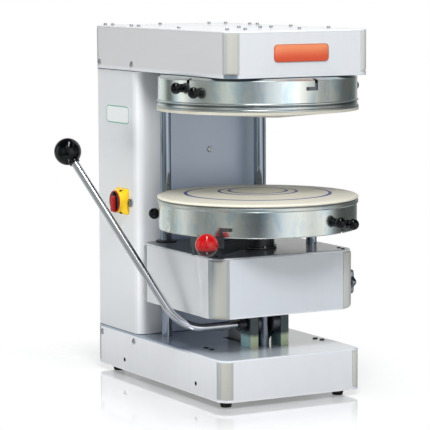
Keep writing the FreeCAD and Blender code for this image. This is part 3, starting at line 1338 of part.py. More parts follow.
def pulley(label, x, y, radius, bore_radius):
    """A flat belt pulley with two rims."""
    body = fuse(label + "_blank", [
        rod(label + "_tread", radius, (x, y, pulley_z), pulley_h),
        rod(label + "_low_rim", radius + 2, (x, y, pulley_z), as_size(1.5)),
        rod(label + "_high_rim", radius + 2, (x, y, pulley_z + pulley_h - 1.5), as_size(1.5)),
    ])
    bore = rod(label + "_bore", bore_radius, (x, y, pulley_z - 1), pulley_h + 2)
    return cut(label + "_bored", body, [bore])


finish(pulley("spindle_pulley", ZERO, spindle_y, cell("spindle_pulley"), spindle_r), "spindle_pulley")
shaft = rod("motor_shaft", cell("motor_shaft"), (ZERO, motor_y, head_low - 30),
            pulley_z + pulley_h - head_low + 30)
motor_wheel = fuse("motor_wheel", [
    shaft,
    pulley("motor_pulley", ZERO, motor_y, cell("motor_pulley"), cell("motor_shaft") - 1),
])
finish(motor_wheel, "motor_pulley")

belt_low = pulley_z + 2
belt_high = pulley_z + pulley_h - 2


def belt_loop(inner):
    """The outline of two half rounds joined by their outer tangents."""
    front_r = cell("spindle_pulley").value + free_gap.value + inner
    back_r = cell("motor_pulley").value + free_gap.value + inner
    front = Vector(0, spindle_y.value, belt_low.value)
    back = Vector(0, motor_y.value, belt_low.value)
    distance = (back - front).Length
    lean = math.asin((front_r - back_r) / distance)
    side = Vector(math.cos(lean), math.sin(lean), 0)
    other = Vector(-math.cos(lean), math.sin(lean), 0)
    a, b = front + side * front_r, back + side * back_r
    c, d = back + other * back_r, front + other * front_r
    edges = [
        Part.LineSegment(a, b).toShape(),
        Part.Arc(b, back + Vector(0, back_r, 0), c).toShape(),
        Part.LineSegment(c, d).toShape(),
        Part.Arc(d, front + Vector(0, -front_r, 0), a).toShape(),
    ]
    return Part.Face(Part.Wire(edges))


belt = doc.addObject("Part::Feature", "drive_belt")
belt_face = belt_loop(cell("belt_thickness").value).cut(belt_loop(0.0))
belt.Shape = belt_face.extrude(Vector(0, 0, belt_high.value - belt_low.value)).Solids[0]
finish(belt, "drive_belt")

motor_r = cell("motor_radius")
motor_low = head_low - cell("motor_length")
motor = cut("gear_motor", fuse("motor_blank", [
    rod("motor_can", motor_r, (ZERO, motor_y, motor_low), cell("motor_length") - 14),
    rod("motor_flange", motor_r + 6, (ZERO, motor_y, head_low - 14), as_size(14)),
    rod("motor_neck", motor_r - 22 - free_gap, (ZERO, motor_y, head_low), as_size(12)),
]), [rod("motor_bore", cell("motor_shaft") + fit_gap, (ZERO, motor_y, head_low - 30), as_size(60))])
finish(motor, "gear_motor")

doc.recompute()

failed = []
for thing in doc.Objects:
    if any(word in str(thing.State) for word in ("Invalid", "Error")):
        failed.append(f"{thing.Label}: {thing.State}")
for label, thing in nodes.items():
    if thing.Shape.isNull() or not thing.Shape.isValid() or not thing.Shape.Solids:
        failed.append(f"{label}: bad shape")
if failed:
    raise SystemExit("\n".join(failed))

whole = FreeCAD.BoundBox()
for label, thing in sorted(nodes.items()):
    thing.Shape.exportStep(f"parts/{label}.step")
    whole.add(thing.Shape.optimalBoundingBox(True))
print(f"{len(nodes)} nodes")
print(f"outline x {whole.XMin:.2f} {whole.XMax:.2f}")
print(f"outline y {whole.YMin:.2f} {whole.YMax:.2f}")
print(f"outline z {whole.ZMin:.2f} {whole.ZMax:.2f}")
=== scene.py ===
from functools import partialmethod
from math import asin, atan2, copysign, cos, degrees, pi, radians, sin, tan, tau

import bmesh
import bpy
from mathutils import Matrix, Vector


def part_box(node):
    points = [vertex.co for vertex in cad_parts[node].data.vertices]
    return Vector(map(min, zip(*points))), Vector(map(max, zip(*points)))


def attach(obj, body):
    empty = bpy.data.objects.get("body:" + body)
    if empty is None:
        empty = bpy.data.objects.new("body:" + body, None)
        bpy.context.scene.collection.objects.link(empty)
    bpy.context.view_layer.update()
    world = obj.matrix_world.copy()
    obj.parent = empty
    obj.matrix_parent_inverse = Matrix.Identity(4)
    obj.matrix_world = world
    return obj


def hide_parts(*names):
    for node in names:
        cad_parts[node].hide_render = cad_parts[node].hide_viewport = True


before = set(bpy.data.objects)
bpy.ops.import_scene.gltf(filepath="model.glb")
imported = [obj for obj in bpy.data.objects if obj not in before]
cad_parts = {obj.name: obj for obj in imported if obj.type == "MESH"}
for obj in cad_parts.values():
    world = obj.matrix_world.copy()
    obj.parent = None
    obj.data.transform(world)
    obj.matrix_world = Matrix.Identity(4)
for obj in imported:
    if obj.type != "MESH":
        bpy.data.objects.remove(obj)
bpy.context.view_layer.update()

# The press stands in a white studio. It is seen through a long lens from its front
# left corner, five metres away and a little above the lower pan.
drum_low, drum_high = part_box("lower_band")
pan_axis = (drum_low + drum_high) / 2


def spot(x, y, z):
    """A place in millimetres from the pans' axis and the floor, as the frame has it."""
    return Vector((pan_axis.x + x / 1000, pan_axis.y + y / 1000, z / 1000))


def round_spot(angle, radius, z):
    """A place at an angle in degrees and a distance from the pans' axis."""
    return spot(radius * cos(radians(angle)), radius * sin(radians(angle)), z)


def flat_way(angle):
    return Vector((cos(radians(angle)), sin(radians(angle)), 0))


camera_turn = 28.83
look_turn, look_down, look_lean = (radians(angle) for angle in (camera_turn, 6.42, -0.26))
ahead = Vector((sin(look_turn) * cos(look_down), cos(look_turn) * cos(look_down), -sin(look_down)))
level_right = Vector((cos(look_turn), -sin(look_turn), 0))
level_up = level_right.cross(ahead)
lens_right = level_right * cos(look_lean) + level_up * sin(look_lean)
lens_up = level_up * cos(look_lean) - level_right * sin(look_lean)


def on_set(name, data):
    """A new object in the studio."""
    thing = bpy.data.objects.new(name, data)
    bpy.context.scene.collection.objects.link(thing)
    return thing


camera_data = bpy.data.cameras.new("corner view")
camera_data.lens = 188.35
camera_data.sensor_width = 36
camera_data.clip_end = 50
camera = on_set("corner view", camera_data)
camera.matrix_world = Matrix.Translation(spot(-2492.33, -4329.76, 961.51)) @ Matrix(
    (lens_right, lens_up, -ahead)).transposed().to_4x4()
bpy.context.scene.camera = camera
bpy.context.scene.view_settings.view_transform = "Standard"

# A long soft box overhead, a large one high above the camera and a low strip at the left
# light it. Their places are angles round the press, counted from the camera.


def way_to(side, rise):
    """The direction from the press to what is that far round from the camera and up."""
    turn, height = radians(side - camera_turn), radians(rise)
    return Vector((sin(turn) * cos(height), -cos(turn) * cos(height), sin(height)))


def soft_box(name, side, rise, reach, size, watts, tint, aim=(0, 60, 420), mirrored=False):
    """A rectangular lamp that faces the press from that side and height."""
    lamp = bpy.data.lights.new(name, "AREA")
    lamp.shape = "RECTANGLE"
    lamp.size, lamp.size_y = size
    lamp.energy = watts
    lamp.color = tint
    stand = on_set(name, lamp)
    way = way_to(side, rise)
    stand.matrix_world = (Matrix.Translation(spot(*aim) + way * reach)
                          @ way.to_track_quat("Z", "Y").to_matrix().to_4x4())
    stand.visible_glossy = mirrored


white = (1.0, 1.0, 1.0)
soft_box("overhead strip", 0, 76, 2.3, (0.3, 1.9), 28, white, mirrored=True)
soft_box("high front box", 4, 46, 4.6, (1.7, 1.2), 126, (0.96, 0.98, 1.0))
soft_box("low left strip", -72, 2.6, 2.2, (1.4, 0.3), 13, (1.0, 0.99, 0.975), (-178, 150, 60))


class Wire:
    """What leaves a node. Arithmetic on it adds Math nodes beside that node."""

    def __init__(self, sheet, socket):
        self.sheet = sheet
        self.socket = socket

    def math(self, operation, *others):
        return self.sheet.put("ShaderNodeMath", [self, *others], operation=operation)[0]

    def __rsub__(self, other):
        return self.sheet.put("ShaderNodeMath", [other, self], operation="SUBTRACT")[0]

    __add__ = __radd__ = partialmethod(math, "ADD")
    __sub__ = partialmethod(math, "SUBTRACT")
    __mul__ = __rmul__ = partialmethod(math, "MULTIPLY")
    __truediv__ = partialmethod(math, "DIVIDE")
    __pow__ = partialmethod(math, "POWER")
    __gt__ = partialmethod(math, "GREATER_THAN")
    __abs__ = partialmethod(math, "ABSOLUTE")


class Sheet:
    """A node tree that is written as Python: each node is one call of put."""

    def __init__(self, tree):
        self.tree = tree
        tree.nodes.clear()

    def put(self, kind, values=(), **settings):
        node = self.tree.nodes.new(kind)
        for key, value in settings.items():
            if key != "stops":
                setattr(node, key, value)
                continue
            stops = node.color_ramp.elements
            while len(stops) > 1:
                stops.remove(stops[-1])
            for number, (place, colour) in enumerate(value):
                stop = stops.new(place) if number else stops[0]
                stop.position = place
                stop.color = (*colour[:3], 1)
        pairs = values.items() if isinstance(values, dict) else enumerate(values)
        for key, value in pairs:
            socket = node.inputs[key]
            for one in value if isinstance(value, list) else [value]:
                if isinstance(one, Wire):
                    self.tree.links.new(one.socket, socket)
                elif one is not None:
                    socket.default_value = (*one[:3], 1) if socket.type == "RGBA" else one
        return [Wire(self, socket) for socket in node.outputs]

    def mixed(self, amount, one, other):
        """One colour turning into the other as the amount goes from 0 to 1."""
        return self.put("ShaderNodeMix", {0: amount, 6: one, 7: other}, data_type="RGBA", clamp_factor=True)[2]

    def layered(self, colour, *layers):
        """Layers over a colour, each as how much of it there is and its tint."""
        for amount, tint in layers:
            colour = self.mixed(amount, colour, tint)
        return colour

    def ramp(self, value, low, high, start=0.0, end=1.0):
        """A soft step of a value between two levels."""
        return self.put("ShaderNodeMapRange", {0: value, 1: low, 2: high, 3: start, 4: end},
                        interpolation_type="SMOOTHSTEP")[0]

    def split(self, vector):
        return self.put("ShaderNodeSeparateXYZ", [vector])


def seen(red, green, blue):
    """A colour as a screen shows it, 0 to 255, in the light values that paint needs."""
    parts = [value / 255 for value in (red, green, blue)]
    return tuple(part / 12.92 if part <= 0.04045 else ((part + 0.055) / 1.055) ** 2.4 for part in parts)


def shaded(tint, share):
    return tuple(part * share for part in tint)


# The studio round it is white behind the press and has bright panels and dark gaps beside
# it, which light the press and show as upright stripes in its chrome and sheet steel.
world = bpy.data.worlds.new("studio")
world.use_nodes = True
bpy.context.scene.world = world
studio = Sheet(world.node_tree)
whole_way = studio.put("ShaderNodeTexCoord")[0]
toward = studio.split(whole_way)
bearing = toward[0].math("ARCTAN2", toward[1] * -1) / tau + 0.5
# Each wall: degrees from the camera, grey low down, grey higher up, which cast.
walls = [
    (-180, 255, 255, 0), (-162, 250, 250, 0), (-150, 240, 244, 1), (-138, 222, 236, 1),
    (-126, 211, 60, 1), (-117, 166, 112, 1), (-109, 214, 236, 1), (-101, 236, 276, 0),
    (-94, 224, 268, 0), (-87, 202, 226, 0), (-75, 149, 156, 1), (-60, 142, 149, 1),
    (-48, 164, 181, 1), (-39, 174, 223, 1), (-30, 158, 223, 1), (-20, 135, 176, 1),
    (-10, 104, 162, 2), (0, 66, 176, 2), (12, 156, 244, 2), (21, 222, 264, 2),
    (31, 248, 290, 2), (40, 262, 320, 0), (52, 262, 276, 0), (60, 240, 236, 0),
    (66, 234, 216, 0), (78, 262, 165, 0), (84, 268, 175, 0), (90, 244, 183, 0),
    (97, 132, 168, 1), (104, 88, 142, 1), (114, 78, 98, 1), (132, 86, 98, 1),
    (144, 96, 106, 1), (160, 116, 190, 1), (173, 244, 244, 0),
]
casts = ((1.0, 1.0, 0.985), (0.93, 1.0, 0.975), (0.9, 0.98, 1.06))


def round_share(side):
    """Degrees from the camera as the share of a full turn that the bearing gives."""
    return ((side - camera_turn + 180) % 360) / 360


levels = []
for level in (1, 2):
    stops = sorted((round_share(wall[0]), shaded(casts[wall[3]], seen(*[wall[level]] * 3)[0])) for wall in walls)
    halves = [stop for stop in stops if stop[0] <= 0.5], [stop for stop in stops if stop[0] > 0.5]
    both = [studio.put("ShaderNodeValToRGB", [bearing], stops=half)[0] for half in halves]
    levels.append(studio.mixed(bearing > (halves[0][-1][0] + halves[1][0][0]) / 2, *both))
wall_colour = studio.mixed(studio.ramp(toward[2], -0.105, -0.06), *levels)
above = studio.ramp(toward[2], 0.34, 0.66)
ray = studio.put("ShaderNodeLightPath")
mirrored = ray[3]
ceiling = studio.mixed(mirrored, seen(76, 86, 102), seen(66, 72, 82))
room = studio.mixed(above, wall_colour, ceiling)
room = studio.mixed(0.25 * (1 - mirrored), room, (0.0, 0.0, 0.0))
low_band = studio.ramp(toward[2], 0.09, -0.03) * studio.ramp(toward[2], -0.3, -0.1) * (1 - mirrored)
for side, reach, level in (
        (-62, 0.17, (3.4, 3.37, 3.3)), (82, 0.12, (1.7, 1.72, 1.75)), (152, 0.14, (2.0, 2.02, 2.05))):
    side_glow = studio.ramp(abs(bearing - round_share(side)), reach, reach * 0.4)
    room = studio.mixed(side_glow * low_band, room, level)
towards_box = studio.put("ShaderNodeVectorMath", [whole_way, way_to(4, 46)], operation="DOT_PRODUCT")[1]
room = studio.mixed(studio.ramp(towards_box, 0.93, 0.985) * mirrored, room, (1.12, 1.14, 1.17))
shown = studio.mixed(ray[0], room, white)
glow = studio.put("ShaderNodeBackground", [shown, 1.0])[0]
studio.put("ShaderNodeOutputWorld", [glow])

# The floor is a sheet of white gloss board. It keeps the press's shadow and a mirror
# image of its base that fades a hand's breadth away.


class Finish(Sheet):
    """A material that is laid out from the place of each point on the press."""

    def __init__(self, name):
        self.material = bpy.data.materials.new(name)
        self.material.use_nodes = True
        super().__init__(self.material.node_tree)
        self.place = self.put("ShaderNodeTexCoord")[3]

    def moved(self, origin):
        return self.put("ShaderNodeMapping", {0: self.place, 1: tuple(-part for part in origin)})[0]

    def speckle(self, size, detail, rough=0.5, stretch=(1, 1, 1), warp=0.0, where=None):
        """Soft noise whose grains are about that many metres across."""
        vector = where or self.place
        if stretch != (1, 1, 1):
            vector = self.put("ShaderNodeMapping", {0: vector, 3: stretch})[0]
        return self.put("ShaderNodeTexNoise", {0: vector, "Scale": 1 / size, "Detail": detail,
                                               "Roughness": rough, "Distortion": warp})[0]

    def patches(self, low, high, *grain, **more):
        """Speckle above a level, with soft edges: 0 outside the patches and 1 inside."""
        return self.ramp(self.speckle(*grain, **more), low, high)

    def relief(self, height, depth, over=None):
        """Bumps as deep as that, in metres, where the height goes from 0 to 1."""
        return self.put("ShaderNodeBump", {"Strength": 1.0, "Distance": depth, "Height": height,
                                           "Normal": over})[0]

    def done(self, **sockets):
        named = {key.replace("_", " "): value for key, value in sockets.items()}
        self.put("ShaderNodeOutputMaterial", [self.put("ShaderNodeBsdfPrincipled", named)[0]])
        return self.material


board = bmesh.new()
bmesh.ops.create_circle(board, cap_ends=True, segments=96, radius=1.15)
board_mesh = bpy.data.meshes.new("gloss board")
board.to_mesh(board_mesh)
board.free()
floor = on_set("gloss-board", board_mesh)
gloss = Finish("gloss board")
beside, before = ((abs(part - (low + high) / 2) - (high - low) / 2).math("MAXIMUM", 0.0)
                  for part, low, high in zip(gloss.split(gloss.place)[:2], *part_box("base_plate")))
away = (beside * beside + before * before).math("SQRT")
ray = gloss.put("ShaderNodeLightPath")
matt = gloss.put("ShaderNodeBsdfDiffuse", [(0.66, 0.66, 0.66), 0.0])[0]
lit = gloss.put("ShaderNodeEmission", [white, ray[0] * 0.48])[0]
both = gloss.put("ShaderNodeAddShader", [matt, lit])[0]
shine = gloss.put("ShaderNodeBsdfGlossy", {"Color": white, "Roughness": 0.05})[0]
skin = gloss.put("ShaderNodeMixShader", [gloss.ramp(away, 0.05, 0.5, 0.5, 0.0), both, shine])[0]
bare = gloss.put("ShaderNodeEmission", [white, 1.0])[0]
skin = gloss.put("ShaderNodeMixShader", [gloss.ramp(away, 0.09, 0.4) * ray[0], skin, bare])[0]
gloss.put("ShaderNodeOutputMaterial", [skin])
board_mesh.materials.append(gloss.material)

# Four rubber feet carry the base. They are moulded, a little narrower at the bottom,
# and a steel washer holds each one to the floor plate.


def worked(name, one, other, grain, patch, share, rough, deep, **sockets):
    """Fine grain and worn patches: speckle values of both, the share of the second tint,
    and the roughness, with what the grain and the patches add to it."""
    finish = Finish(name)
    fine = finish.speckle(*grain)
    worn = finish.speckle(*patch[1:])
    if patch[0]:
        worn = finish.ramp(worn, *patch[0])
    return finish.done(Base_Color=finish.mixed(worn * share, one, other),
                       Roughness=fine * rough[1] + worn * rough[2] + rough[0],
                       Normal=finish.relief(fine, deep), **sockets)


rubber = worked("moulded rubber", seen(26, 26, 27), seen(58, 57, 55), (0.0009, 3), ((0.45, 0.7), 0.011, 3), 0.6,
                (0.62, 0.25, 0.0), 0.00006, Specular_IOR_Level=0.35)


class Recipe(Sheet):
    """A Geometry Nodes tree with named sizes that sets one shape on every point."""

    def __init__(self, name, sizes):
        super().__init__(bpy.data.node_groups.new(name, "GeometryNodeTree"))
        self.keys = {}
        kinds = {label: "Int" if isinstance(value, int) else "Float" for label, value in sizes.items()}
        for label, kind in {"Points": "Geometry", **kinds, "Finish": "Material"}.items():
            socket = self.tree.interface.new_socket(label, in_out="INPUT", socket_type="NodeSocket" + kind)
            if label in sizes:
                socket.default_value = sizes[label]
            self.keys[label] = socket.identifier
        self.tree.interface.new_socket("Shape", in_out="OUTPUT", socket_type="NodeSocketGeometry")
        self.points, *self.sizes, self.finish = self.put("NodeGroupInput")[:-1]

    def lifted(self, shape, height):
        offset = self.put("ShaderNodeCombineXYZ", {2: height})[0]
        return self.put("GeometryNodeTransform", {0: shape, "Translation": offset})[0]

    def drum(self, sides, bottom, top, height, low=0.0):
        """A round solid, straight or tapered, that stands on that height."""
        cone = self.put("GeometryNodeMeshCone", {"Vertices": sides, "Radius Top": top, "Radius Bottom": bottom,
                                                 "Depth": height}, fill_type="NGON")[0]
        return self.lifted(cone, low)

    def set_on_points(self, *shapes):
        """The shapes stand on every point, up along its stored direction."""
        joined = self.put("GeometryNodeJoinGeometry", {0: list(shapes)})[0]
        facing = self.put("GeometryNodeInputNamedAttribute", ["facing"], data_type="FLOAT_VECTOR")[0]
        turned = self.put("FunctionNodeAlignRotationToVector", {"Vector": facing}, axis="Z")[0]
        placed = self.put("GeometryNodeInstanceOnPoints", {
            "Points": self.points, "Instance": joined, "Rotation": turned})[0]
        real = self.put("GeometryNodeRealizeInstances", {0: placed})[0]
        coated = self.put("GeometryNodeSetMaterial", {0: real, "Material": self.finish})[0]
        self.put("NodeGroupOutput", [coated])

    def make(self, name, places, finish, **sizes):
        """A plain mesh of the shape on each place; a place is a point and a direction."""
        dots = bpy.data.meshes.new(name + " places")
        dots.from_pydata([tuple(point) for point, facing in places], [], [])
        directions = dots.attributes.new("facing", "FLOAT_VECTOR", "POINT")
        directions.data.foreach_set("vector", [part for point, facing in places for part in facing])
        piece = on_set(name, dots)
        pattern = piece.modifiers.new("pattern", "NODES")
        pattern.node_group = self.tree
        for label, value in sizes.items():
            pattern[self.keys[label.replace("_", " ")]] = value
        pattern[self.keys["Finish"]] = finish
        return applied(piece, 40)


def applied(piece, crease):
    """The piece's modifier becomes its plain mesh, shaded softly."""
    ready = piece.evaluated_get(bpy.context.evaluated_depsgraph_get())
    mesh = bpy.data.meshes.new_from_object(ready)
    piece.modifiers.clear()
    piece.data = mesh
    smooth(mesh, crease)
    return piece


def smooth(mesh, crease):
    """Round faces shade softly and edges sharper than the crease stay crisp."""
    mesh.polygons.foreach_set("use_smooth", [True] * len(mesh.polygons))
    mesh.set_sharp_from_angle(angle=radians(crease))
    mesh.update()


def finished(piece, body, slot, *nodes):
    """The piece moves with its body and stands for CAD nodes; the slot is not used."""
    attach(piece, body)
    if nodes:
        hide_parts(*nodes)


foot = Recipe("rubber foot", {"Sole": 0.0118, "Body": 0.0138, "Height": 0.0125, "Washer": 0.0105})
sole, radius, height, washer = foot.sizes
foot.set_on_points(
    foot.drum(40, sole - 0.0008, sole, 0.0009),
    foot.drum(40, sole, radius, height - 0.0019, 0.0009),
    foot.drum(40, radius, radius - 0.0009, 0.001, height - 0.001),
    foot.drum(40, washer, washer, 0.0015, height))
foot_places = [(spot(x, y, 0), (0, 0, 1)) for x in (-151, 134) for y in (-122, 400)]
finished(foot.make("rubber-feet", foot_places, rubber), "frame", "rubber", "rubber_feet")

# The base is a box of coated sheet steel: floor plate, front, sides and rear, and a top
# cover with a rounded edge. The head and the carriage are covered the same way.


def sheet_enamel(name, low, high, tint, edge_highlight_tint, gloss_low=0.24, shine=0.5, others=()):
    """White enamel on sheet: fine orange peel, soft clouds, dust low down, and edges lightened
    as wear and as a painted highlight. Each of the others, painted shade or light, is how
    much of another tint there is at a place, and the tint."""
    enamel = Finish(name)
    x, y, z = enamel.split(enamel.place)
    near = [(value - bottom).math("MINIMUM", top - value) for value, bottom, top in zip((x, y, z), low, high)]
    smaller = near[0].math("MINIMUM", near[1])
    larger = near[0].math("MAXIMUM", near[1])
    edge_reach = smaller.math("MAXIMUM", larger.math("MINIMUM", near[2]))
    ragged = edge_reach + (enamel.speckle(0.012, 4, 0.65) - 0.5) * 0.003
    # Painted highlight, partly wear: the rounded edges are lightened towards a near white.
    rubbed_edge_highlight = 1 - enamel.ramp(ragged, 0.0008, 0.0044)
    clouds = enamel.speckle(0.22, 4, 0.6)
    tone = enamel.speckle(0.007, 4, 0.7)
    dust = enamel.patches(0.4, 0.95, 0.03, 5, 0.65)
    low_down = 1 - enamel.ramp(z - low.z, 0.0, (high.z - low.z) * 0.5)
    runs = enamel.patches(0.4, 0.7, 0.016, 3, 0.6, (1, 1, 0.12))
    colour = enamel.layered(
        tint, (clouds * 0.6 + tone * 0.4, shaded(tint, 0.95)), (runs * 0.3, shaded(tint, 0.93)),
        (dust * low_down * 0.1, seen(198, 196, 190)), (rubbed_edge_highlight * 0.8, edge_highlight_tint),
        *((amount(enamel, x, y, z), other) for amount, other in others))
    hair = enamel.patches(0.62, 0.75, 0.004, 2, 0.5, (1, 1, 14), 0.4)
    peel = enamel.speckle(0.0016, 2, 0.4)
    return enamel.done(
        Base_Color=colour, Roughness=clouds * 0.04 + dust * 0.015 + hair * 0.02 + gloss_low,
        Specular_IOR_Level=shine, Coat_Weight=shine * 0.6, Coat_Roughness=0.08,
        Normal=enamel.relief(peel, 0.00002, enamel.relief(clouds, 0.00006)))


def node_paint(finish, *nodes):
    """CAD nodes keep their shape and get a worked finish."""
    for node in nodes:
        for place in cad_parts[node].material_slots:
            place.material = finish


base_low, base_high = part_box("base_plate")[0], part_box("base_top_cover")[1]
# The near white of the painted highlight on enamelled edges.
edge_highlight_white = seen(243, 243, 244)
base_enamel = sheet_enamel("base enamel", base_low, base_high, seen(235, 236, 238), edge_highlight_white)
node_paint(base_enamel, "base_plate", "base_panels")
# The top cover's white is bluer than the sides', and behind its front strip, away from the right edge, it is painted
# bluish grey: painted shade under the carriage.
node_paint(sheet_enamel(
    "base top enamel", base_low, base_high, seen(234, 240, 247), edge_highlight_white, 0.16, 0.7,
    others=((lambda coat, x, y, z: coat.ramp(y, base_low.y + 0.1, base_low.y + 0.22) * coat.ramp(
        x, base_high.x - 0.08, base_high.x - 0.16), seen(160, 172, 188)),)), "base_top_cover")

# The corner profiles of base, head and carriage are drawn aluminium with a warm grey
# coat. Each has a narrow step at both edges where the sheet meets it, and two fine grooves.


def joined(shape, rings):
    """Rings of points, each joined to the next, with a face at both ends."""
    rings = [[shape.verts.new(point) for point in ring] for ring in rings]
    for one, two in zip(rings, rings[1:]):
        for number in range(len(one)):
            after = (number + 1) % len(one)
            shape.faces.new((one[number], one[after], two[after], two[number]))
    shape.faces.new(reversed(rings[0]))
    shape.faces.new(rings[-1])
    return shape


def built(name, shape, finish, crease=35):
    """A bmesh becomes a piece: doubles merged, faces outwards, soft shading."""
    bmesh.ops.remove_doubles(shape, verts=shape.verts, dist=0.000002)
    bmesh.ops.recalc_face_normals(shape, faces=shape.faces)
    mesh = bpy.data.meshes.new(name)
    shape.to_mesh(mesh)
    shape.free()
    mesh.materials.append(finish)
    smooth(mesh, crease)
    return on_set(name, mesh)


def drawn_profile(node, radius, grey, proud):
    """Warm grey coat on drawn profiles: draw lines, handling marks, a dark seam at the side sheet,
    painted shade along the steps at both sheets, paler right-hand profiles as painted light,
    lighter ends, and on a proud profile painted shade towards its top.
    """
    coat = Finish(node.replace("_", " ") + " coat")
    low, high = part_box(node)
    x, y, z = coat.split(coat.place)
    in_x = (x - low.x).math("MINIMUM", high.x - x)
    in_y = (y - low.y).math("MINIMUM", high.y - y)
    ends = 1 - coat.ramp((z - low.z).math("MINIMUM", high.z - z), 0.0008, 0.0035)
    lines = coat.speckle(0.0011, 2, 0.5, (1, 1, 0.012))
    wide_lines = coat.speckle(0.006, 2, 0.5, (1, 1, 0.02))
    handled = coat.patches(0.55, 0.8, 0.03, 4, 0.6)
    tint = seen(grey, grey - 2, grey - 10)
    layers = [
        (wide_lines * 0.6, shaded(tint, 0.9)), (handled * 0.2, shaded(tint, 0.8)),
        # Painted shade along the step beside the side sheet, and less beside the front sheet.
        (1 - coat.ramp(in_x, radius * 0.00002, radius * 0.00022), seen(grey - 20, grey - 15, grey - 13)),
        (1 - coat.ramp(in_y, radius * 0.000012, radius * 0.000022), seen(grey - 8, grey - 5, grey - 8)),
        # Painted light: the right-hand profiles are paler.
        (coat.ramp(x, high.x - 0.04, high.x - 0.03) * 0.6, seen(grey + 34, grey + 34, grey + 28)),
        (coat.ramp(in_x, radius * 0.00006, radius * 0.00002) * 0.35, seen(grey - 44, grey - 44, grey - 48)),
        (ends * 0.35, seen(grey + 14, grey + 14, grey + 10))]
    if proud:
        # Painted shade of the pans above: darker towards the top, away from the sheets.
        shade = coat.ramp(z, low.z + 0.05, high.z - 0.01) * coat.ramp(in_y, radius * 0.0001, radius * 0.0005)
        layers.append((shade * 0.5, seen(112, 126, 136)))
    return coat.done(
        Base_Color=coat.layered(tint, *layers), Roughness=0.3 + lines * 0.12 + coat.speckle(0.09, 3) * 0.06,
        Coat_Weight=0.15, Coat_Roughness=0.12, Normal=coat.relief(lines, 0.00003))


def corner_line(radius, wall):
    """The cross-section of a profile, outside and then inside: distance from the bend's
    middle, and angle."""
    step, groove = 0.0012, 0.0008
    marks = [(0.0, step), (3.4, step), (3.5, 0.0), (86.4, 0.0), (86.5, step), (90.0, step)]
    for angle in (27.0, 80.0):
        marks += [(angle - 1.2, 0.0), (angle, groove), (angle + 1.2, 0.0)]
    marks += [(angle, 0.0) for angle in range(6, 86, 4) if abs(angle - 27) > 2 and abs(angle - 80) > 2]
    return ([(radius - deep, radians(angle)) for angle, deep in sorted(marks)]
            + [(radius - wall, radians(angle)) for angle in range(90, -1, -10)])


def corner_profiles(node, radius, body, grey, top_round, foot_round, proud=0.0):
    """Four profiles, one on each corner of a covered box, with rounded ends."""
    low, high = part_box(node)
    shape = bmesh.new()
    reach = radius / 1000
    quarter = [(1 - sin(pi / 2 * step / 6), 1 - cos(pi / 2 * step / 6)) for step in range(7)]
    levels = [(low.z + 0.0002 + foot_round * rise / 1000, foot_round * drop / 1000) for drop, rise in quarter]
    levels += [(high.z - 0.0002 - top_round * rise / 1000, top_round * drop / 1000)
               for drop, rise in reversed(quarter)]
    for x, y, turn in ((low.x + reach, low.y + reach, 180), (high.x - reach, low.y + reach, 270),
                       (high.x - reach, high.y - reach, 0), (low.x + reach, high.y - reach, 90)):
        rings = []
        for height, taken in levels:
            ring = []
            for distance, angle in corner_line(reach, 0.004):
                reached = distance + (proud / 1000 - taken) * sin(2 * angle)
                around = angle + radians(turn)
                ring.append((x + reached * cos(around), y + reached * sin(around), height))
            rings.append(ring)
        joined(shape, rings)
    piece = built(node.replace("_", "-"), shape, drawn_profile(node, radius, grey, proud), 28)
    finished(piece, body, "post_paint", node)


# The carriage's profiles are a darker grey than the others: painted shade under the pans.
corner_profiles("base_corner_posts", 27, "frame", 194, 1.5, 2)
corner_profiles("head_corner_posts", 27, "frame", 192, 2, 5)
corner_profiles("carriage_corner_posts", 34, "carriage", 180, 6, 10, 2.4)

# The column is one sheet bent round its two front corners, with a flat cover behind,
# round a welded steel frame. Its coat is the same enamel, with painted shade: greyer on
# its left side, bluish grey on its front between the pans.
column_low, column_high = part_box("column_cover")


def column_front_shade(coat, x, y, start, end):
    """The front of the column from one distance on, where the painted shade of the pans lies."""
    across = coat.ramp(x, column_low.x + start, column_low.x + end)
    return across * (1 - coat.ramp(y, column_low.y + 0.004, column_low.y + 0.02))


node_paint(sheet_enamel(
    "column enamel", column_low, column_high, seen(242, 243, 245), seen(243, 244, 246), 0.2, others=(
        # Painted shade: the left side a greyer white, the front from its bend on bluish grey, and its right part a
        # darker blue grey.
        (lambda coat, x, y, z: 1 - coat.ramp(x, column_low.x + 0.001, column_low.x + 0.006), seen(216, 218, 220)),
        (lambda coat, x, y, z: column_front_shade(coat, x, y, 0.045, 0.075), seen(203, 216, 238)),
        (lambda coat, x, y, z: column_front_shade(coat, x, y, 0.265, 0.295), seen(158, 177, 195)))), "column_cover")
node_paint(base_enamel, "rear_cover")


def plain_steel(name, tint, rough):
    """Machined steel under a thin film of oil, with fine tool marks."""
    return worked(name, tint, shaded(tint, 0.72), (0.0012, 3, 0.6, (1, 1, 0.06)),
                  ((0.42, 0.75), 0.035, 4, 0.6, (1, 1, 1), 0.6), 0.5, (rough, 0.14, 0.1), 0.00004, Metallic=0.95)


machined = plain_steel("machined steel", seen(150, 151, 154), 0.28)
rolled = plain_steel("rolled steel", seen(150, 151, 154), 0.38)
node_paint(rolled, "column_frame")


def chrome_plate(name, tint, rough):
    """Hard chrome: nearly clear, with wiping marks, a few pits and a cool cast."""
    plate = Finish(name)
    wiped = plate.speckle(0.012, 4, 0.6, (1, 1, 0.2), 0.5)
    hair = plate.speckle(0.0006, 2, 0.5, (1, 1, 0.05))
    pits = plate.patches(0.72, 0.78, 0.0022, 2, 0.5)
    colour = plate.layered(tint, (wiped * 0.5, shaded(tint, 0.8)), (pits * 0.5, shaded(tint, 0.4)))
    return plate.done(Base_Color=colour, Metallic=1.0, Roughness=wiped * 0.06 + pits * 0.2 + rough,
                      Normal=plate.relief(hair, 0.000002))


ground_chrome = chrome_plate("ground chrome", seen(152, 161, 173), 0.03)
node_paint(ground_chrome, "guide_rods")

# A bent steel strip with two legs carries the lever's shaft in bronze bushes. It is
# zinc plated and passivated, which gives it a blue green cast that turns yellow in places.


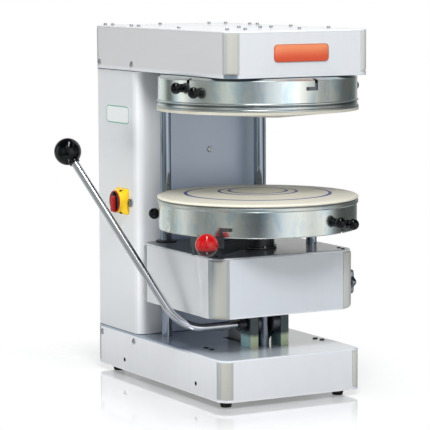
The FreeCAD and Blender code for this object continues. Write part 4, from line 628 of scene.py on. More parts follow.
def zinc_plate():
    """Zinc under a thin film of colour; above a height it is painted dark, as painted shade under the carriage."""
    film = Finish("passivated zinc")
    y, z = film.split(film.place)[1:]
    flakes = film.put("ShaderNodeTexVoronoi", {0: film.place, "Scale": 190.0, "Randomness": 0.9})
    flake = film.split(flakes[1])[0]
    drift = film.speckle(0.012, 4, 0.6, (1, 1, 0.35), 0.4)
    front = 1 - film.ramp(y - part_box("lever_bracket")[0].y, 0.0006, 0.0018)
    # Painted shade under the carriage: dark blue grey above a height.
    carriage_shade = film.ramp(z + drift * 0.008, 0.131, 0.142)
    colour = film.layered(
        seen(158, 202, 212), (front, seen(196, 202, 164)), (drift * 0.5 + flake * 0.12, seen(164, 184, 176)),
        (carriage_shade * 0.92, seen(52, 62, 74)))
    return film.done(Base_Color=colour, Metallic=0.55, Roughness=flake * 0.08 + drift * 0.12 + 0.28,
                     Normal=film.relief(film.speckle(0.0014, 3), 0.00003))


zinc = zinc_plate()
node_paint(zinc, "lever_bracket")
bronze = worked("bearing bronze", seen(70, 62, 48), seen(38, 35, 32), (0.0009, 2, 0.5, (0.1, 1, 1)),
                ((0.4, 0.7), 0.012, 4, 0.6), 1.0, (0.26, 0.1, 0.2), 0.00004, Metallic=0.8)

# A chrome post stands between the bracket's legs, screwed to the floor plate. The
# carriage comes to rest on its cap of moulded rubber.


def eased(corners, steps=5):
    """A line of corners; one that carries a third number is rounded to that radius."""
    line = []
    for number, corner in enumerate(corners):
        here = Vector(corner[:2])
        if len(corner) < 3:
            line.append((here.x, here.y))
            continue
        before = (Vector(corners[number - 1][:2]) - here).normalized()
        after = (Vector(corners[(number + 1) % len(corners)][:2]) - here).normalized()
        half = before.angle(after) / 2
        middle = here + (before + after).normalized() * (corner[2] / sin(half))
        start = here + before * (corner[2] / tan(half)) - middle
        end = here + after * (corner[2] / tan(half)) - middle
        sweep = atan2(start.cross(end), start.dot(end))
        for step in range(steps + 1):
            turn = sweep * step / steps
            line.append((middle.x + start.x * cos(turn) - start.y * sin(turn),
                         middle.y + start.x * sin(turn) + start.y * cos(turn)))
    return line


def lathe(shape, line, foot, along=(0, 0, 1), rounds=96):
    """(Radius, height) in millimetres turned about an axis. A line that ends on the axis
    is left open there, any other is closed."""
    stand = Vector((0, 0, 1)).rotation_difference(Vector(along).normalized()).to_matrix()
    rings = []
    for number in range(rounds):
        angle = tau * number / rounds
        rings.append([shape.verts.new(foot + stand @ Vector((
            radius * cos(angle), radius * sin(angle), height)) / 1000) for radius, height in line])
    steps = len(line) if line[-1][0] > 0.001 else len(line) - 1
    for one, two in zip(rings, rings[1:] + rings[:1]):
        for step in range(steps):
            after = (step + 1) % len(line)
            shape.faces.new((one[step], two[step], two[after], one[after]))
    return shape


def turned(name, line, finish, foot, along=(0, 0, 1), rounds=96, crease=35):
    return built(name, lathe(bmesh.new(), line, foot, along, rounds), finish, crease)


dark_chrome = chrome_plate("worn chrome", seen(150, 158, 164), 0.07)
# The post's chrome is darker than the rods': painted shade between the bracket's legs.
post_chrome = chrome_plate("rest post chrome", seen(112, 118, 127), 0.05)
post_line = eased([
    (0, 0), (13, 0), (14, 1.0), (14, 262, 1.0), (12.5, 264, 0.6), (12.5, 266, 0.6), (14, 268, 1.0),
    (14, 272.7, 1.2), (0, 272.7)], 3)
finished(turned("rest-post", post_line, post_chrome, spot(3, -16, 20)), "frame", "chrome", "rest_post")
buffer_line = eased([(0, 0), (10.2, 0), (11, 2.5, 1.5), (10.6, 6.5, 1.5), (8.5, 8.0, 1.5), (0, 8.0)], 4)
finished(turned("rest-buffer", buffer_line, rubber, spot(3, -16, 292.7)), "frame", "rubber", "rest_buffer")

# The hand lever is a chrome bar with one bend. It is pinned into a black hub on the
# shaft and carries a black ball of moulded resin with a flat neck.


def moulded_resin(name, tint, rough, shade_height=None):
    """Dark moulded resin, polished, with hair scratches; below a height it may be painted dark, as painted shade."""
    resin = Finish(name)
    scratches = resin.patches(0.6, 0.72, 0.003, 3, 0.5, (1, 6, 1), 1.2)
    smears = resin.speckle(0.018, 4, 0.6)
    layers = [(smears * 0.5, tuple(part * 1.35 + 0.001 for part in tint))]
    if shade_height:
        # Painted shade: below the height the colour darkens to deep red and then near black.
        height = resin.split(resin.place)[2] + smears * 0.001
        layers += [(resin.ramp(height, shade_height + 0.014, shade_height) * 0.4, seen(120, 12, 20)),
                   (resin.ramp(height, shade_height + 0.001, shade_height - 0.0025) * 0.93, seen(34, 14, 18))]
    return resin.done(
        Base_Color=resin.layered(tint, *layers), Roughness=smears * 0.05 + scratches * 0.08 + rough,
        Coat_Weight=0.08, Coat_Roughness=0.02, Specular_IOR_Level=0.5 if shade_height else 0.26,
        Normal=resin.relief(scratches, 0.000004))


def ball_line(radius, neck, steps):
    """A ball from its flat neck to its top, as (radius, height) from its middle."""
    first = asin(neck / radius)
    turns = [first + (pi - first) * step / steps for step in range(steps + 1)]
    return [(radius * sin(turn), -radius * cos(turn)) for turn in turns]


black_resin = moulded_resin("black resin", seen(2, 2, 4), 0.03)
lacquer = worked("black lacquer", seen(28, 32, 36), seen(50, 54, 57), (0.0015, 2), ((0.6, 0.78), 0.02, 5, 0.65), 0.4,
                 (0.26, 0.0, 0.16), 0.00004, Coat_Weight=0.15, Coat_Roughness=0.15, Specular_IOR_Level=0.4)
shaft_y, shaft_z = -16, 159
bend_corner = Vector((-205, shaft_y, shaft_z))
grip_centre = Vector((-335, 280, 536))
rod_start = Vector((-85.5, shaft_y, shaft_z))
bend_radius, rod_radius, rod_sides = 80.0, 9.0, 40
inward = (rod_start - bend_corner).normalized()
outward = (grip_centre - bend_corner).normalized()
half_bend = inward.angle(outward) / 2
bend_middle = bend_corner + (inward + outward).normalized() * (bend_radius / sin(half_bend))
first_arm, last_arm = (bend_corner + way * (bend_radius / tan(half_bend)) - bend_middle
                       for way in (inward, outward))
bend_normal = first_arm.cross(last_arm).normalized()
bend_angle, bend_steps = first_arm.angle(last_arm), 24
bend = [bend_middle + Matrix.Rotation(bend_angle * step / bend_steps, 3, bend_normal) @ first_arm
        for step in range(bend_steps + 1)]
rod_line = [rod_start, *bend, grip_centre - outward * 20]
side = Vector((0, 0, 1)).cross(rod_line[1] - rod_line[0]).normalized()
rings = []
for number, point in enumerate(rod_line):
    way = (rod_line[min(number + 1, len(rod_line) - 1)] - rod_line[max(number - 1, 0)]).normalized()
    side = (side - way * side.dot(way)).normalized()
    turns = [tau * turn / rod_sides for turn in range(rod_sides)]
    rings.append([spot(*(point + side * (rod_radius * cos(turn)) + way.cross(side) * (
        rod_radius * sin(turn)))) for turn in turns])
stem_line = eased([(0, 0), (8.2, 0), (8.9, 1.5), (7, 3), (7, 33), (0, 33)])
lever = lathe(joined(bmesh.new(), rings), stem_line, spot(-88.5, shaft_y, shaft_z), (1, 0, 0), rod_sides)
satin_chrome = chrome_plate("satin chrome", seen(214, 215, 220), 0.1)
finished(built("lever-rod", lever, satin_chrome, 40), "hand_lever", "chrome", "lever_rod")
grip_line = [(0, -33.3), (11.3, -33.3), (12.5, -32.1), *ball_line(31.0, 12.5, 40)]
finished(turned("lever-ball", grip_line, black_resin, spot(*grip_centre), outward, 72), "hand_lever", "black_knob",
         "lever_ball")
hub_line = eased([(7.2, 0), (13.4, 0, 0.8), (15, 1.6, 0.8), (15, 16.4, 0.8), (13.4, 18, 0.8), (7.2, 18)], 3)
finished(turned("lever-hub", hub_line, lacquer, spot(-61.5, shaft_y, shaft_z), (1, 0, 0), 64), "hand_lever",
         "black_paint", "lever_hub")
greasy_steel = plain_steel("greasy steel", seen(92, 94, 98), 0.34)
node_paint(lacquer, "lever_bushes")
node_paint(greasy_steel, "lift_crank", "crank_pin", "lift_roller")

# The carriage slides on the two rods. A thick steel plate with two bush tubes is inside
# its cover, and the yoke that the crank lifts hangs under it.
carriage_low, carriage_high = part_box("carriage_panels")[0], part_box("carriage_top_cover")[1]


def left_side_shade(low):
    """How far a point is on the left panel, which is painted a greyer white than the front: painted shade of the side.
    """
    return lambda coat, x, y, z: (1 - coat.ramp(x, low.x + 0.0008, low.x + 0.003)) * 0.9


# The carriage's white is darker and bluer than the base's, painted shade under the pans, and its left panel is greyer,
# also painted shade.
node_paint(sheet_enamel(
    "carriage enamel", carriage_low, carriage_high, seen(214, 218, 223), seen(232, 234, 237), 0.13,
    others=((left_side_shade(carriage_low), seen(199, 201, 204)),)), "carriage_panels")
# The carriage top is painted dark grey, painted shade under the lower pan, and lighter right of the pans' axis, where
# that shade ends.
node_paint(sheet_enamel(
    "carriage top enamel", carriage_low, carriage_high, seen(158, 163, 170), seen(222, 225, 228), 0.2, 0.12,
    others=((lambda coat, x, y, z: coat.ramp(x, pan_axis.x + 0.01, pan_axis.x + 0.09), seen(236, 239, 240)),)),
    "carriage_top_cover")
node_paint(machined, "carriage_plate", "lower_carrier", "upper_carrier")
node_paint(rolled, "lift_yoke")
node_paint(bronze, "rod_bearings")
node_paint(ground_chrome, "table_posts")

# A knob at the right of the carriage clamps it on its rod. It is cast with six lobes and
# chrome plated, with a raised cap in front and a threaded stem behind.
clamp = Recipe("lobed knob", {"Radius": 0.0268, "Lobe": 0.0036, "Depth": 0.0118, "Lobes": 6, "Stem": 0.005,
                              "Stem length": 0.0235, "Cap": 0.0090})
radius, lobe, depth, lobes, stem, stem_length, cap = clamp.sizes
grid = clamp.put("GeometryNodeMeshGrid", {"Size X": 1.0, "Size Y": 1.0, "Vertices X": 145, "Vertices Y": 13})[0]
u, v = clamp.split(clamp.put("GeometryNodeInputPosition")[0])[:2]
turn = (u + 0.5) * tau
rounding = 0.0032
reach = radius + (turn * lobes + pi).math("COSINE") * lobe - (abs(v) * 2) ** 5.0 * rounding
place = clamp.put("ShaderNodeCombineXYZ", [
    reach * turn.math("COSINE"), reach * turn.math("SINE"), depth * (v + 0.5)])[0]
rim = clamp.put("GeometryNodeSetPosition", {0: grid, "Position": place})[0]
clamp.set_on_points(
    clamp.put("GeometryNodeMergeByDistance", {0: rim, "Distance": 0.00001})[0],
    clamp.drum(72, cap * 1.9, cap * 1.9, depth * 0.72, depth * 0.14),
    clamp.drum(48, cap * 1.9, cap * 1.15, depth * 0.16, depth * 0.86),
    clamp.drum(48, cap, cap * 0.8, 0.003, depth),
    clamp.drum(32, stem, stem, stem_length, 0.0 - stem_length))
finished(clamp.make("clamp-knob", [(spot(181, -80, 247), (1, 0, 0))], dark_chrome), "clamp", "chrome", "clamp_knob")

# A black ring under the lower pan sets how thin the dough gets. Its arm ends in a zinc
# plate with a chrome stem and a red ball, which turn it.
node_paint(lacquer, "thickness_ring")
node_paint(zinc, "thickness_clip")
washer_line = eased([(37.3, 0), (41.8, 0, 0.3), (41.8, 0.9, 0.3), (37.3, 0.9)], 3)
finished(turned("ring-washer", washer_line, machined, spot(0, 0, 328.3)), "thickness_dial", "steel")
# The red ball's lower part is painted dark: painted shade.
red_resin = moulded_resin("red resin", seen(178, 16, 18), 0.05, 0.3534)
arm_turn = -143.85
red_line = [(0, -24.6), (5.6, -24.6), (6.4, -24.17), *ball_line(25.0, 6.4, 36)[1:]]
finished(turned("thickness-ball", red_line, red_resin, round_spot(arm_turn, 268, 362), flat_way(arm_turn), 64),
         "thickness_dial", "red_knob", "thickness_ball")

# Each pan is a spun band of thin bright steel with a rolled rim and beads near its plate.
# Bayonet slots in the rim take the pins of the carrier inside it.


def spun_steel():
    """Thin bright sheet: faint rolling spangle, round polishing marks, upright tint streaks that are partly painted
    reflection, and painted shade in the grooves.
    """
    band = Finish("spun band steel")
    x, y, z = band.split(band.moved((pan_axis.x, pan_axis.y, 0)))
    cling = band.put("ShaderNodeCombineXYZ", [y.math("ARCTAN2", x) * 0.22, z, 0.0])[0]
    streaks = band.speckle(0.0016, 3, 0.55, (0.03, 1, 1), where=cling)
    upright = band.speckle(0.006, 3, 0.6, (1, 0.05, 1), where=cling)
    haze = band.speckle(0.05, 4, 0.6, (1, 1.6, 1), 0.6, where=cling)
    cool = band.patches(0.46, 0.64, 0.034, 3, 0.55, (1, 0.5, 1), 0.3, where=cling)
    prints = band.patches(0.6, 0.75, 0.02, 5, 0.7, where=cling)

    def between(low, high, below, inside, above, short):
        """How far a height is between two others, with soft edges; all in millimetres."""
        rise = band.ramp(z, (low - below) / 1000, (low + inside) / 1000)
        return rise * band.ramp(z, (high + above) / 1000, (high - short) / 1000)

    # Painted shade: the grooves are painted dark, and the beads and flats beside them greyer.
    groove_shade = [(between(low, high, 0.5, 0.3, 0.4, 0.4) * share, seen(*shade)) for low, high, share, shade in (
        (653.2, 656.5, 0.8, (52, 62, 70)), (643.0, 653.2, 0.45, (150, 152, 152)),
        (437.5, 439.9, 0.75, (40, 46, 50)), (430.2, 437.5, 0.3, (170, 168, 160)))]
    dull = sum(between(low, high, 0.6, 0.4, 0.4, 0.6) for low, high in (
        (641.0, 649.0), (655.5, 661.5), (707.8, 714.0), (428.0, 440.5)))
    # The upright streaks and the cool patches are partly the sheet's own tone and partly painted reflection streaks.
    tint = band.layered(
        seen(224, 230, 228), (haze, seen(232, 230, 220)), (upright * 0.4, seen(188, 204, 206)),
        (cool * 0.5, seen(178, 204, 218)), (prints * 0.18, seen(160, 158, 148)), *groove_shade)
    return band.done(
        Base_Color=tint, Metallic=1.0, Roughness=dull * 0.14 + streaks * 0.07 + haze * 0.05 + prints * 0.05 + 0.14,
        Normal=band.relief(upright, 0.00006, band.relief(streaks, 0.000012)))


band_steel = spun_steel()
# Each rim: its height, the way in from it, the angle of its lock pin, which way the pan
# turns to come free. The pins are at the same angles from the lock pin on both.
lower_rim, upper_rim = (372, 1, -58.2, -1), (710, -1, -167.7, 1)
pin_depth, pin_turns, handle_depth, handle_turns = 18.5, (0, 77, 180, 257), 26.5, (12.5, 161.5)
knob_seat = 221.7


def pan_band(name, corners, rim):
    """A spun band with one hook-shaped slot for each pin: in from the rim, then round."""
    band = turned(name, eased(corners, 4), band_steel, spot(0, 0, 0), rounds=240)
    edge, rise, turn, sense = rim
    half_slot, run, inner, outer = 4.0, 5.5, 206.8, 232.0
    half_turn = sense * degrees(half_slot / 221.5)
    pin_z, open_z = edge + rise * pin_depth, edge - rise * 6
    top, bottom = pin_z + rise * half_slot, pin_z - rise * half_slot
    shape = bmesh.new()
    for offset in pin_turns:
        seat = turn + sense * offset
        mouth = seat + sense * run
        hook = [(seat - half_turn, top), (mouth + half_turn, top), (mouth + half_turn, open_z),
                (mouth - half_turn, open_z), (mouth - half_turn, bottom), (seat - half_turn, bottom)]
        near, far = ([shape.verts.new(round_spot(angle, radius, height)) for angle, height in hook]
                     for radius in (inner, outer))
        shape.faces.new(near)
        shape.faces.new(reversed(far))
        for number in range(len(hook)):
            after = (number + 1) % len(hook)
            shape.faces.new((near[after], near[number], far[number], far[after]))
    cutter = built("hooks", shape, band_steel)
    cut = band.modifiers.new("cut", "BOOLEAN")
    cut.operation, cut.solver, cut.object = "DIFFERENCE", "EXACT", cutter
    applied(band, 30)
    bpy.data.objects.remove(cutter)
    return band


finished(pan_band("lower-band", [
    (205.0, 439.5), (222.3, 439.5, 0.3), (222.0, 437.3, 0.5), (224.2, 436.9, 1.3), (224.2, 430.0, 1.6),
    (221.5, 428.4, 0.6), (221.5, 374.4, 1.0), (220.6, 372.2, 0.6), (219.0, 372.0, 0.4), (218.2, 373.0, 0.4),
    (219.8, 375.4, 0.6), (219.8, 437.7, 1.0), (205.0, 437.7)], lower_rim), "lower_pan", "band_steel", "lower_band")
finished(pan_band("upper-band", [
    (205.0, 642.5), (223.4, 642.5, 0.4), (224.2, 643.3, 0.6), (224.2, 646.4, 1.2), (222.4, 648.0, 0.8),
    (222.4, 652.6, 0.6), (220.9, 653.4, 0.4), (220.9, 656.4, 0.4), (224.0, 657.2, 0.8), (224.0, 659.8, 1.0),
    (221.5, 660.8, 0.6), (221.5, 708.7, 1.0), (209.4, 713.2, 0.8), (208.5, 713.4, 0.2), (208.5, 712.6, 0.2),
    (219.8, 707.6, 0.8), (219.8, 644.2, 1.0), (205.0, 644.2)], upper_rim), "upper_pan", "band_steel", "upper_band")
shield_line = eased([(176.0, 713.9), (206.4, 713.0, 0.4), (207.4, 711.2, 0.4), (206.2, 711.4), (176.0, 712.6)], 3)
finished(turned("holder-shield", shield_line, band_steel, spot(0, 0, 0), rounds=144), "upper_holder", "steel")

# A turned steel ring on each carrier fits inside the band and centres the pan. It shows
# in the slots behind the pins.
pale_ring = plain_steel("turned ring steel", seen(118, 124, 130), 0.34)
for name, body, low_z, high_z in (("lower-centring-ring", "table", 374.6, 404.0),
                                  ("upper-centring-ring", "upper_holder", 678.0, 703.0)):
    ring_line = eased([(205.5, low_z), (218.2, low_z, 0.6), (218.8, low_z + 0.8, 0.4), (218.8, high_z - 0.8, 0.4),
                       (218.2, high_z, 0.6), (205.5, high_z)], 3)
    finished(turned(name, ring_line, pale_ring, spot(0, 0, 0), rounds=192), body, "steel")

# The plates that press the dough are cast, with a cream non-stick coat. Three blue rings
# on the lower one show the sizes of the discs.


def plate_finish(name, rings, shade=1.0):
    """Cream coat with fine grain, flour and stains, and blue rings that are a little worn; a
    shade below one darkens the cream as painted shade.
    """
    coat = Finish(name)
    x, y = coat.split(coat.moved((pan_axis.x, pan_axis.y, 0)))[:2]
    reach = (x * x + y * y).math("SQRT")
    fine = coat.speckle(0.0009, 3, 0.6)
    flour = coat.patches(0.45, 0.8, 0.045, 5, 0.65)
    stain = coat.patches(0.5, 0.8, 0.09, 4, 0.6, warp=0.8)
    blue = coat.patches(0.2, 0.4, 0.006, 4, 0.7) * 0.15 + 0.8
    lines = [(1 - coat.ramp(abs(reach - radius / 1000), width / 2200, width / 1700)) * blue for radius, width in rings]
    colour = coat.layered(
        shaded(seen(234, 229, 212), shade), (flour * 0.5, shaded(seen(240, 236, 223), shade)),
        (stain * 0.3, seen(210, 204, 186)), *((line, seen(28, 46, 138)) for line in lines))
    return coat.done(
        Base_Color=colour, Roughness=fine * 0.14 + flour * 0.1 + 0.46, Normal=coat.relief(fine, 0.00005))


lower_coat = plate_finish("lower plate coat", ((161.6, 7.4), (86.8, 6.2), (64.6, 6.2)))
plate_line = eased([(0, 439.6), (222.6, 439.6, 0.8), (224.5, 441.0, 1.2), (224.5, 443.4, 2.2), (221.0, 445.6, 4.0),
                    (120, 451.4, 40), (0, 457.5)])
finished(turned("lower-plate", plate_line, lower_coat, spot(0, 0, 0), rounds=192, crease=50), "lower_pan", "plate_coat",
         "lower_plate")
# The upper plate's coat is darker: painted shade.
node_paint(plate_finish("upper plate coat", (), 0.74), "upper_plate")

# Each pan has black ball knobs on its band: two to hold it by and one on the carrier's
# pin that locks it. Each knob stands on a round collar. Plain steel pins show in the
# other slots.
knob = Recipe("ball knob", {"Ball": 0.0125, "Reach": 0.0153, "Neck": 0.0056, "Collar": 0.0094,
                            "Collar height": 0.0058})
ball, ball_reach, neck, collar, collar_height = knob.sizes
sphere = knob.put("GeometryNodeMeshUVSphere", {"Segments": 48, "Rings": 28, "Radius": ball})[0]
knob.set_on_points(
    knob.lifted(sphere, ball_reach),
    knob.drum(40, neck, neck, ball_reach),
    knob.drum(48, collar * 0.96, collar, collar_height * 0.2),
    knob.drum(48, collar, collar, collar_height * 0.5, collar_height * 0.2),
    knob.drum(48, collar, collar * 0.78, collar_height * 0.3, collar_height * 0.7),
    knob.drum(24, 0.0036, 0.0036, 0.006, -0.006))
pin = Recipe("slot pin", {"Radius": 0.0035, "Height": 0.0016, "Chamfer": 0.0006})
radius, height, chamfer = pin.sizes
pin.set_on_points(pin.drum(28, radius, radius, height + 0.006, -0.006),
                  pin.drum(28, radius, radius - chamfer, chamfer, height))


def rim_places(rim, offsets, depth):
    """Places on a band at that depth from its rim, each with its direction outwards."""
    edge, rise, turn, sense = rim
    ways = [flat_way(turn + sense * offset) for offset in offsets]
    return [(spot(way.x * knob_seat, way.y * knob_seat, edge + rise * depth), way) for way in ways]


pans = ("lower", lower_rim, "table"), ("upper", upper_rim, "upper_holder")
for half, rim, holder in pans:
    handles = knob.make(half + "-handles", rim_places(rim, handle_turns, handle_depth), black_resin)
    finished(handles, half + "_pan", "black_knob", half + "_handles")
    lock = knob.make(half + "-lock-knob", rim_places(rim, pin_turns[:1], pin_depth), black_resin)
    finished(lock, holder, "black_knob", half + "_lock_knob")
for half, rim, holder in pans:
    pins = pin.make(half + "-slot-pins", rim_places(rim, pin_turns[1:], pin_depth), greasy_steel)
    finished(pins, holder, "steel")

# The head holds the drive. Its cover lies inside the upper edge of the panels, with a
# fine groove all round, and is held by small cap screws.
head_low, head_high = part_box("head_plate")[0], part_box("head_top_cover")[1]
# The head's white is a little darker than the base's, painted shade, and its left panel greyer, also painted shade.
head_enamel = sheet_enamel("head enamel", head_low, head_high, seen(219, 221, 224), edge_highlight_white,
                           others=((left_side_shade(head_low), seen(204, 204, 205)),))


def head_shade(coat, x, y, z):
    """Painted shade and reflection: the front left corner of the head's plate and its underside are painted dark."""
    corner = ((1 - coat.ramp(x, head_low.x + 0.020, head_low.x + 0.026))
              * (1 - coat.ramp(y, head_low.y + 0.020, head_low.y + 0.026)))
    under = 1 - coat.ramp(z, head_low.z + 0.0003, head_low.z + 0.0009)
    return (corner + under).math("MINIMUM", 1.0) * 0.85


def stepped_cover(name, low, high, corner, line, finish):
    """A cover with round corners whose edge follows (inset, height) in millimetres all
    round and then closes."""
    steps = 10
    rings = []
    for inset, height in line:
        inset = inset / 1000
        radius = max(corner - inset, 0.0008)
        ring = []
        for x, y, turn in ((high.x, high.y, 0), (low.x, high.y, 90), (low.x, low.y, 180), (high.x, low.y, 270)):
            middle_x = x - copysign(inset + radius, x - (low.x + high.x) / 2)
            middle_y = y - copysign(inset + radius, y - (low.y + high.y) / 2)
            for step in range(steps + 1):
                angle = radians(turn + 90 * step / steps)
                ring.append((middle_x + radius * cos(angle), middle_y + radius * sin(angle), height / 1000))
        rings.append(ring)
    return built(name, joined(bmesh.new(), rings), finish, 30)


node_paint(head_enamel, "head_panels")
# The head's plate is painted dark blue grey at its front left corner and underneath: painted shade.
node_paint(sheet_enamel("head plate enamel", head_low, head_high, seen(218, 220, 223), seen(224, 226, 230),
                        others=((head_shade, seen(70, 90, 106)),)), "head_plate")
head_edge = eased([(4, 811.1), (0.0, 811.1, 0.3), (0.0, 815.0, 2.6), (4.4, 815.0, 0.4), (4.8, 813.6), (6.0, 813.6),
                   (6.3, 814.9, 0.3), (40, 815.0)], 4)
finished(stepped_cover("head-top-cover", *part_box("head_top_cover"), 0.027, head_edge, head_enamel), "frame",
         "white_paint", "head_top_cover")

# Zinc plated cap screws with a hexagon socket hold the covers, and flat ones the side
# panels. Black ones hold the base's and the carriage's covers.
screw = Recipe("cap screw", {"Radius": 0.0046, "Height": 0.0060, "Socket": 0.0023, "Chamfer": 0.0007})
radius, height, socket, chamfer = screw.sizes
rim = screw.drum(28, radius, radius - chamfer, chamfer, height - chamfer)
blank = screw.drum(28, radius, radius, height - chamfer)
hexagon = screw.drum(6, socket, socket, height, height * 0.45)
solid = screw.put("GeometryNodeMeshBoolean", {1: [rim, blank]}, operation="UNION")[0]
screw.set_on_points(screw.put("GeometryNodeMeshBoolean", {0: solid, 1: hexagon}, operation="DIFFERENCE")[0])


def screws(name, body, slot, finish, places, sizes, *nodes):
    """Screws of one kind; radius, height, socket and chamfer are in millimetres."""
    named = {label: size / 1000 for label, size in zip(("Radius", "Height", "Socket", "Chamfer"), sizes)}
    finished(screw.make(name, places, finish, **named), body, slot, *nodes)


def upright(height, *spots):
    return [(spot(x, y, height), (0, 0, 1)) for x, y in spots]


pale_steel = plain_steel("pale steel", seen(196, 200, 204), 0.3)
screws("top-cover-screws", "frame", "steel", pale_steel, upright(
    815, (-155, 448), (-147, 425), (-155, 312), (-155, 275), (-142, 104), (-118, -74), (-76, -79), (-11, 64), (25, 31),
    (60, 43), (48, -101), (133, 79), (138, -76), (145, 252), (145, 288), (131, 380), (98, 402), (-32, 405)),
    (4.0, 4.4, 2.0), "top_cover_screws")
panel_places = [(spot(side * 178, y, z), (side, 0, 0)) for side in (-1, 1) for y in (432, 266) for z in (730, 90)]
panel_places.append((spot(14.5, 250, 528.5), (0, -1, 0)))
screws("panel-screws", "frame", "steel", pale_steel, panel_places, (6.8, 3.4, 2.6, 2.1), "panel_screws")
plug_places = [(spot(-177.9, y, 39.5), (-1, 0, 0)) for y in (315, -34)]
screws("side-hole-plugs", "frame", "black_knob", black_resin, plug_places, (4.7, 0.6, 1.4, 0.2))
screws("base-cover-screws", "frame", "black_paint", lacquer,
       upright(106, (-124, 17), (-122.7, -8), (153.5, 5.5), (158.5, -16.5)), (5.8, 2.2, 2.4))
screws("carriage-cover-screws", "carriage", "black_paint", lacquer,
       upright(325, (158, -88), (155, -110), (-155, -88), (-155, -110)), (4.6, 1.6, 2.0))
ring_places = [(round_spot(angle, 39.6, 329.2), (0, 0, 1)) for angle in (-168.8, -96.8, -24.8, 47.2, 119.2)]
screws("ring-screws", "thickness_dial", "steel", chrome_plate("chrome plate", seen(226, 229, 233), 0.05),
       ring_places, (2.2, 4.6, 1.1, 0.4))

# Thin black seals close the joints between the column and the two boxes that it stands
# between. They are flat rubber cord, pressed in when the column is bolted down.
for name, low_z, high_z in (("head-seal", 713.3, 714.9), ("foot-seal", 106.1, 107.2)):
    seal_line = [(20, low_z), (-0.25, low_z), (-0.5, (low_z + high_z) / 2), (-0.25, high_z), (20, high_z)]
    finished(stepped_cover(name, column_low, column_high, 0.020, seal_line, rubber), "frame", "rubber")

# The plates for the signs are bare: an orange one with a dark edge on the head, and a
# clear film with a thin line round it on the column's side.


def rim_mask(surface, node, corner, first, second, start, end):
    """A line that runs round inside a rounded plate, from one distance from its edge to
    another, and the place from the plate's middle."""
    low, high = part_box(node)
    parts = surface.split(surface.moved((low + high) / 2))
    a, b = (abs(parts[axis]) - ((high - low)[axis] / 2 - corner) for axis in (first, second))
    outside_a, outside_b = a.math("MAXIMUM", 0.0), b.math("MAXIMUM", 0.0)
    reach = (outside_a * outside_a + outside_b * outside_b).math("SQRT") + a.math("MAXIMUM", b).math("MINIMUM", 0.0)
    edge = corner - reach
    return surface.ramp(edge, start, start + 0.0003) * (1 - surface.ramp(edge, end, end + 0.0003)), parts


orange = Finish("orange enamel plate")
border, parts = rim_mask(orange, "front_badge", 0.0085, 0, 2, 0.0, 0.0011)
wash = orange.speckle(0.02, 3)
# Painted highlight: the badge's upper half is lighter.
badge_colour = orange.layered(
    seen(216, 70, 18), (orange.ramp(parts[2], -0.012, 0.016), seen(228, 136, 90)), (wash * 0.2, seen(214, 84, 36)),
    (border * 0.75, seen(122, 44, 26)))
badge_finish = orange.done(Base_Color=badge_colour, Roughness=wash * 0.1 + 0.24, Coat_Weight=0.3, Coat_Roughness=0.08)
badge_low, badge_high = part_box("front_badge")
middle, half = (badge_low + badge_high) / 2, (badge_high - badge_low) / 2
rings = []
for inset, depth in ((0, 0.1), (0, 1.7), (0.3, 2.2), (1.0, 2.5), (24, 2.5)):
    line = eased([(side_x * (half.x * 1000 - inset), side_z * (half.z * 1000 - min(inset, 18)), max(8.5 - inset, 0.6))
                  for side_x, side_z in ((-1, -1), (1, -1), (1, 1), (-1, 1))], 8)
    rings.append([(middle.x + a / 1000, badge_high.y - depth / 1000, middle.z + b / 1000) for a, b in line])
finished(built("front-badge", joined(bmesh.new(), rings), badge_finish), "frame", "orange", "front_badge")
film = Finish("label film")
outline, parts = rim_mask(film, "side_label", 0.012, 1, 2, 0.0004, 0.0030)
age = film.speckle(0.02, 4)
film_colour = film.layered(seen(228, 230, 231), (age * 0.3, seen(218, 219, 218)), (outline * 0.9, seen(84, 158, 128)))
node_paint(film.done(Base_Color=film_colour, Roughness=age * 0.06 + 0.34, Coat_Weight=0.1, Coat_Roughness=0.2),
           "side_label")

# The main switch on the column's side has a yellow moulding, square at the column and
# round in front, and a red rotary knob with a black dial and a raised bar to grip.
yellow, red = (worked(name, seen(*one), seen(*other), (0.0007, 2), (None, 0.014, 3), 1.0, (rough, 0.12, 0.0), 0.00003,
                      Specular_IOR_Level=0.45) for name, one, other, rough in (
    ("yellow plastic", (255, 212, 44), (250, 200, 34), 0.3), ("red plastic", (168, 26, 22), (146, 22, 20), 0.24)))
node_paint(black_resin, "switch_body", "cable_gland")
switch_y, switch_z, sides = 322, 411, 96
rings = []
for x, half, square in (
        (-175.0, 29.6, 16), (-175.5, 30.0, 16), (-178.2, 30.0, 16), (-179.2, 29.7, 14), (-181.5, 29.1, 8),
        (-184.0, 28.3, 4.4), (-187.0, 27.4, 2.8), (-190.0, 26.8, 2.2), (-193.0, 26.5, 2), (-194.9, 26.4, 2),
        (-195.5, 25.9, 2), (-195.5, 8.0, 2)):
    ring = []
    for number in range(sides):
        turn = tau * (number + 0.5) / sides
        reach = half / (abs(cos(turn)) ** square + abs(sin(turn)) ** square) ** (1 / square)
        ring.append(spot(x, switch_y + reach * cos(turn), switch_z + reach * sin(turn)))
    rings.append(ring)
finished(built("switch-plate", joined(bmesh.new(), rings), yellow, 30), "frame", "yellow", "switch_plate")
knob_line = eased([(0, 0), (24.8, 0, 0.4), (25.5, 0.9, 0.4), (25.5, 2.4, 0.6), (24.3, 3.0, 0.3), (23.4, 2.5),
                   (22.9, 1.7), (0, 1.7)], 3)
knob_shape = lathe(bmesh.new(), knob_line, spot(-195.8, switch_y, switch_z), (-1, 0, 0), 72)
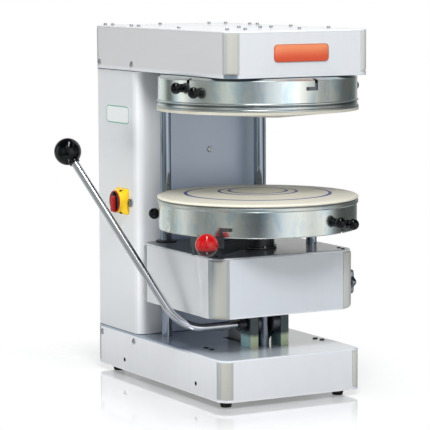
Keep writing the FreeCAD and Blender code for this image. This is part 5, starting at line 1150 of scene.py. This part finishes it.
grip_line = eased([(-7, -23.5, 4.5), (7, -23.5, 4.5), (7, 14, 5.5), (-7, 14, 5.5)])
joined(knob_shape, [[spot(x, switch_y + a * (1 - shrink / 7.0), switch_z - 4.75 + (b + 4.75) * (1 - shrink / 18.75))
                     for a, b in grip_line]
                    for x, shrink in ((-196.9, 0.0), (-203.6, 0.3), (-205.0, 0.9), (-205.7, 2.0), (-205.8, 3.2))])
finished(built("switch-knob", knob_shape, red), "switch", "switch_red", "switch_knob")
dial_line = eased([(0, 0), (22.6, 0), (22.6, 0.55, 0.2), (0, 0.55)], 2)
finished(turned("switch-dial", dial_line, black_resin, spot(-197.3, switch_y, switch_z), (-1, 0, 0), 64), "switch",
         "black_knob")
slots = bmesh.new()
for side in (-1, 1):
    middle = spot(-187.0, switch_y - 12.5, switch_z + side * 24.6)
    bmesh.ops.create_cube(slots, size=1.0, matrix=Matrix.Translation(middle) @ Matrix.Rotation(
        side * -0.42, 4, "X") @ Matrix.Diagonal((0.0075, 0.009, 0.0026, 1)))
finished(built("switch-slots", slots, black_resin), "frame", "black_knob")
eye_line = eased([(4.2, 0, 0.4), (9.6, 0, 0.6), (9.6, 2.2, 0.8), (8.0, 3.4, 0.6), (4.2, 3.4, 0.6)], 3)
finished(turned("switch-lock-eye", eye_line, dark_chrome, spot(-177.5, 281.5, 410), (-1, 0, 0), 48), "frame", "steel")

# The drive is inside the head and column: a geared motor hangs in the column and a flat
# belt turns the spindle, whose offset journal swings the upper pan.
node_paint(worked("motor paint", seen(118, 124, 130), seen(84, 88, 92), (0.002, 3, 0.6), ((0.5, 0.78), 0.04, 4, 0.6),
                  0.5, (0.42, 0.16, -0.12), 0.00016), "gear_motor")
node_paint(worked("belt rubber", seen(38, 36, 34), seen(64, 58, 50), (0.0008, 2, 0.5, (0.2, 0.2, 1)),
                  ((0.4, 0.7), 0.02, 4), 1.0, (0.5, 0.2, -0.1), 0.0001), "drive_belt")
node_paint(machined, "motor_pulley", "spindle_pulley", "spindle", "spindle_bearings", "spindle_housing", "hold_pins")
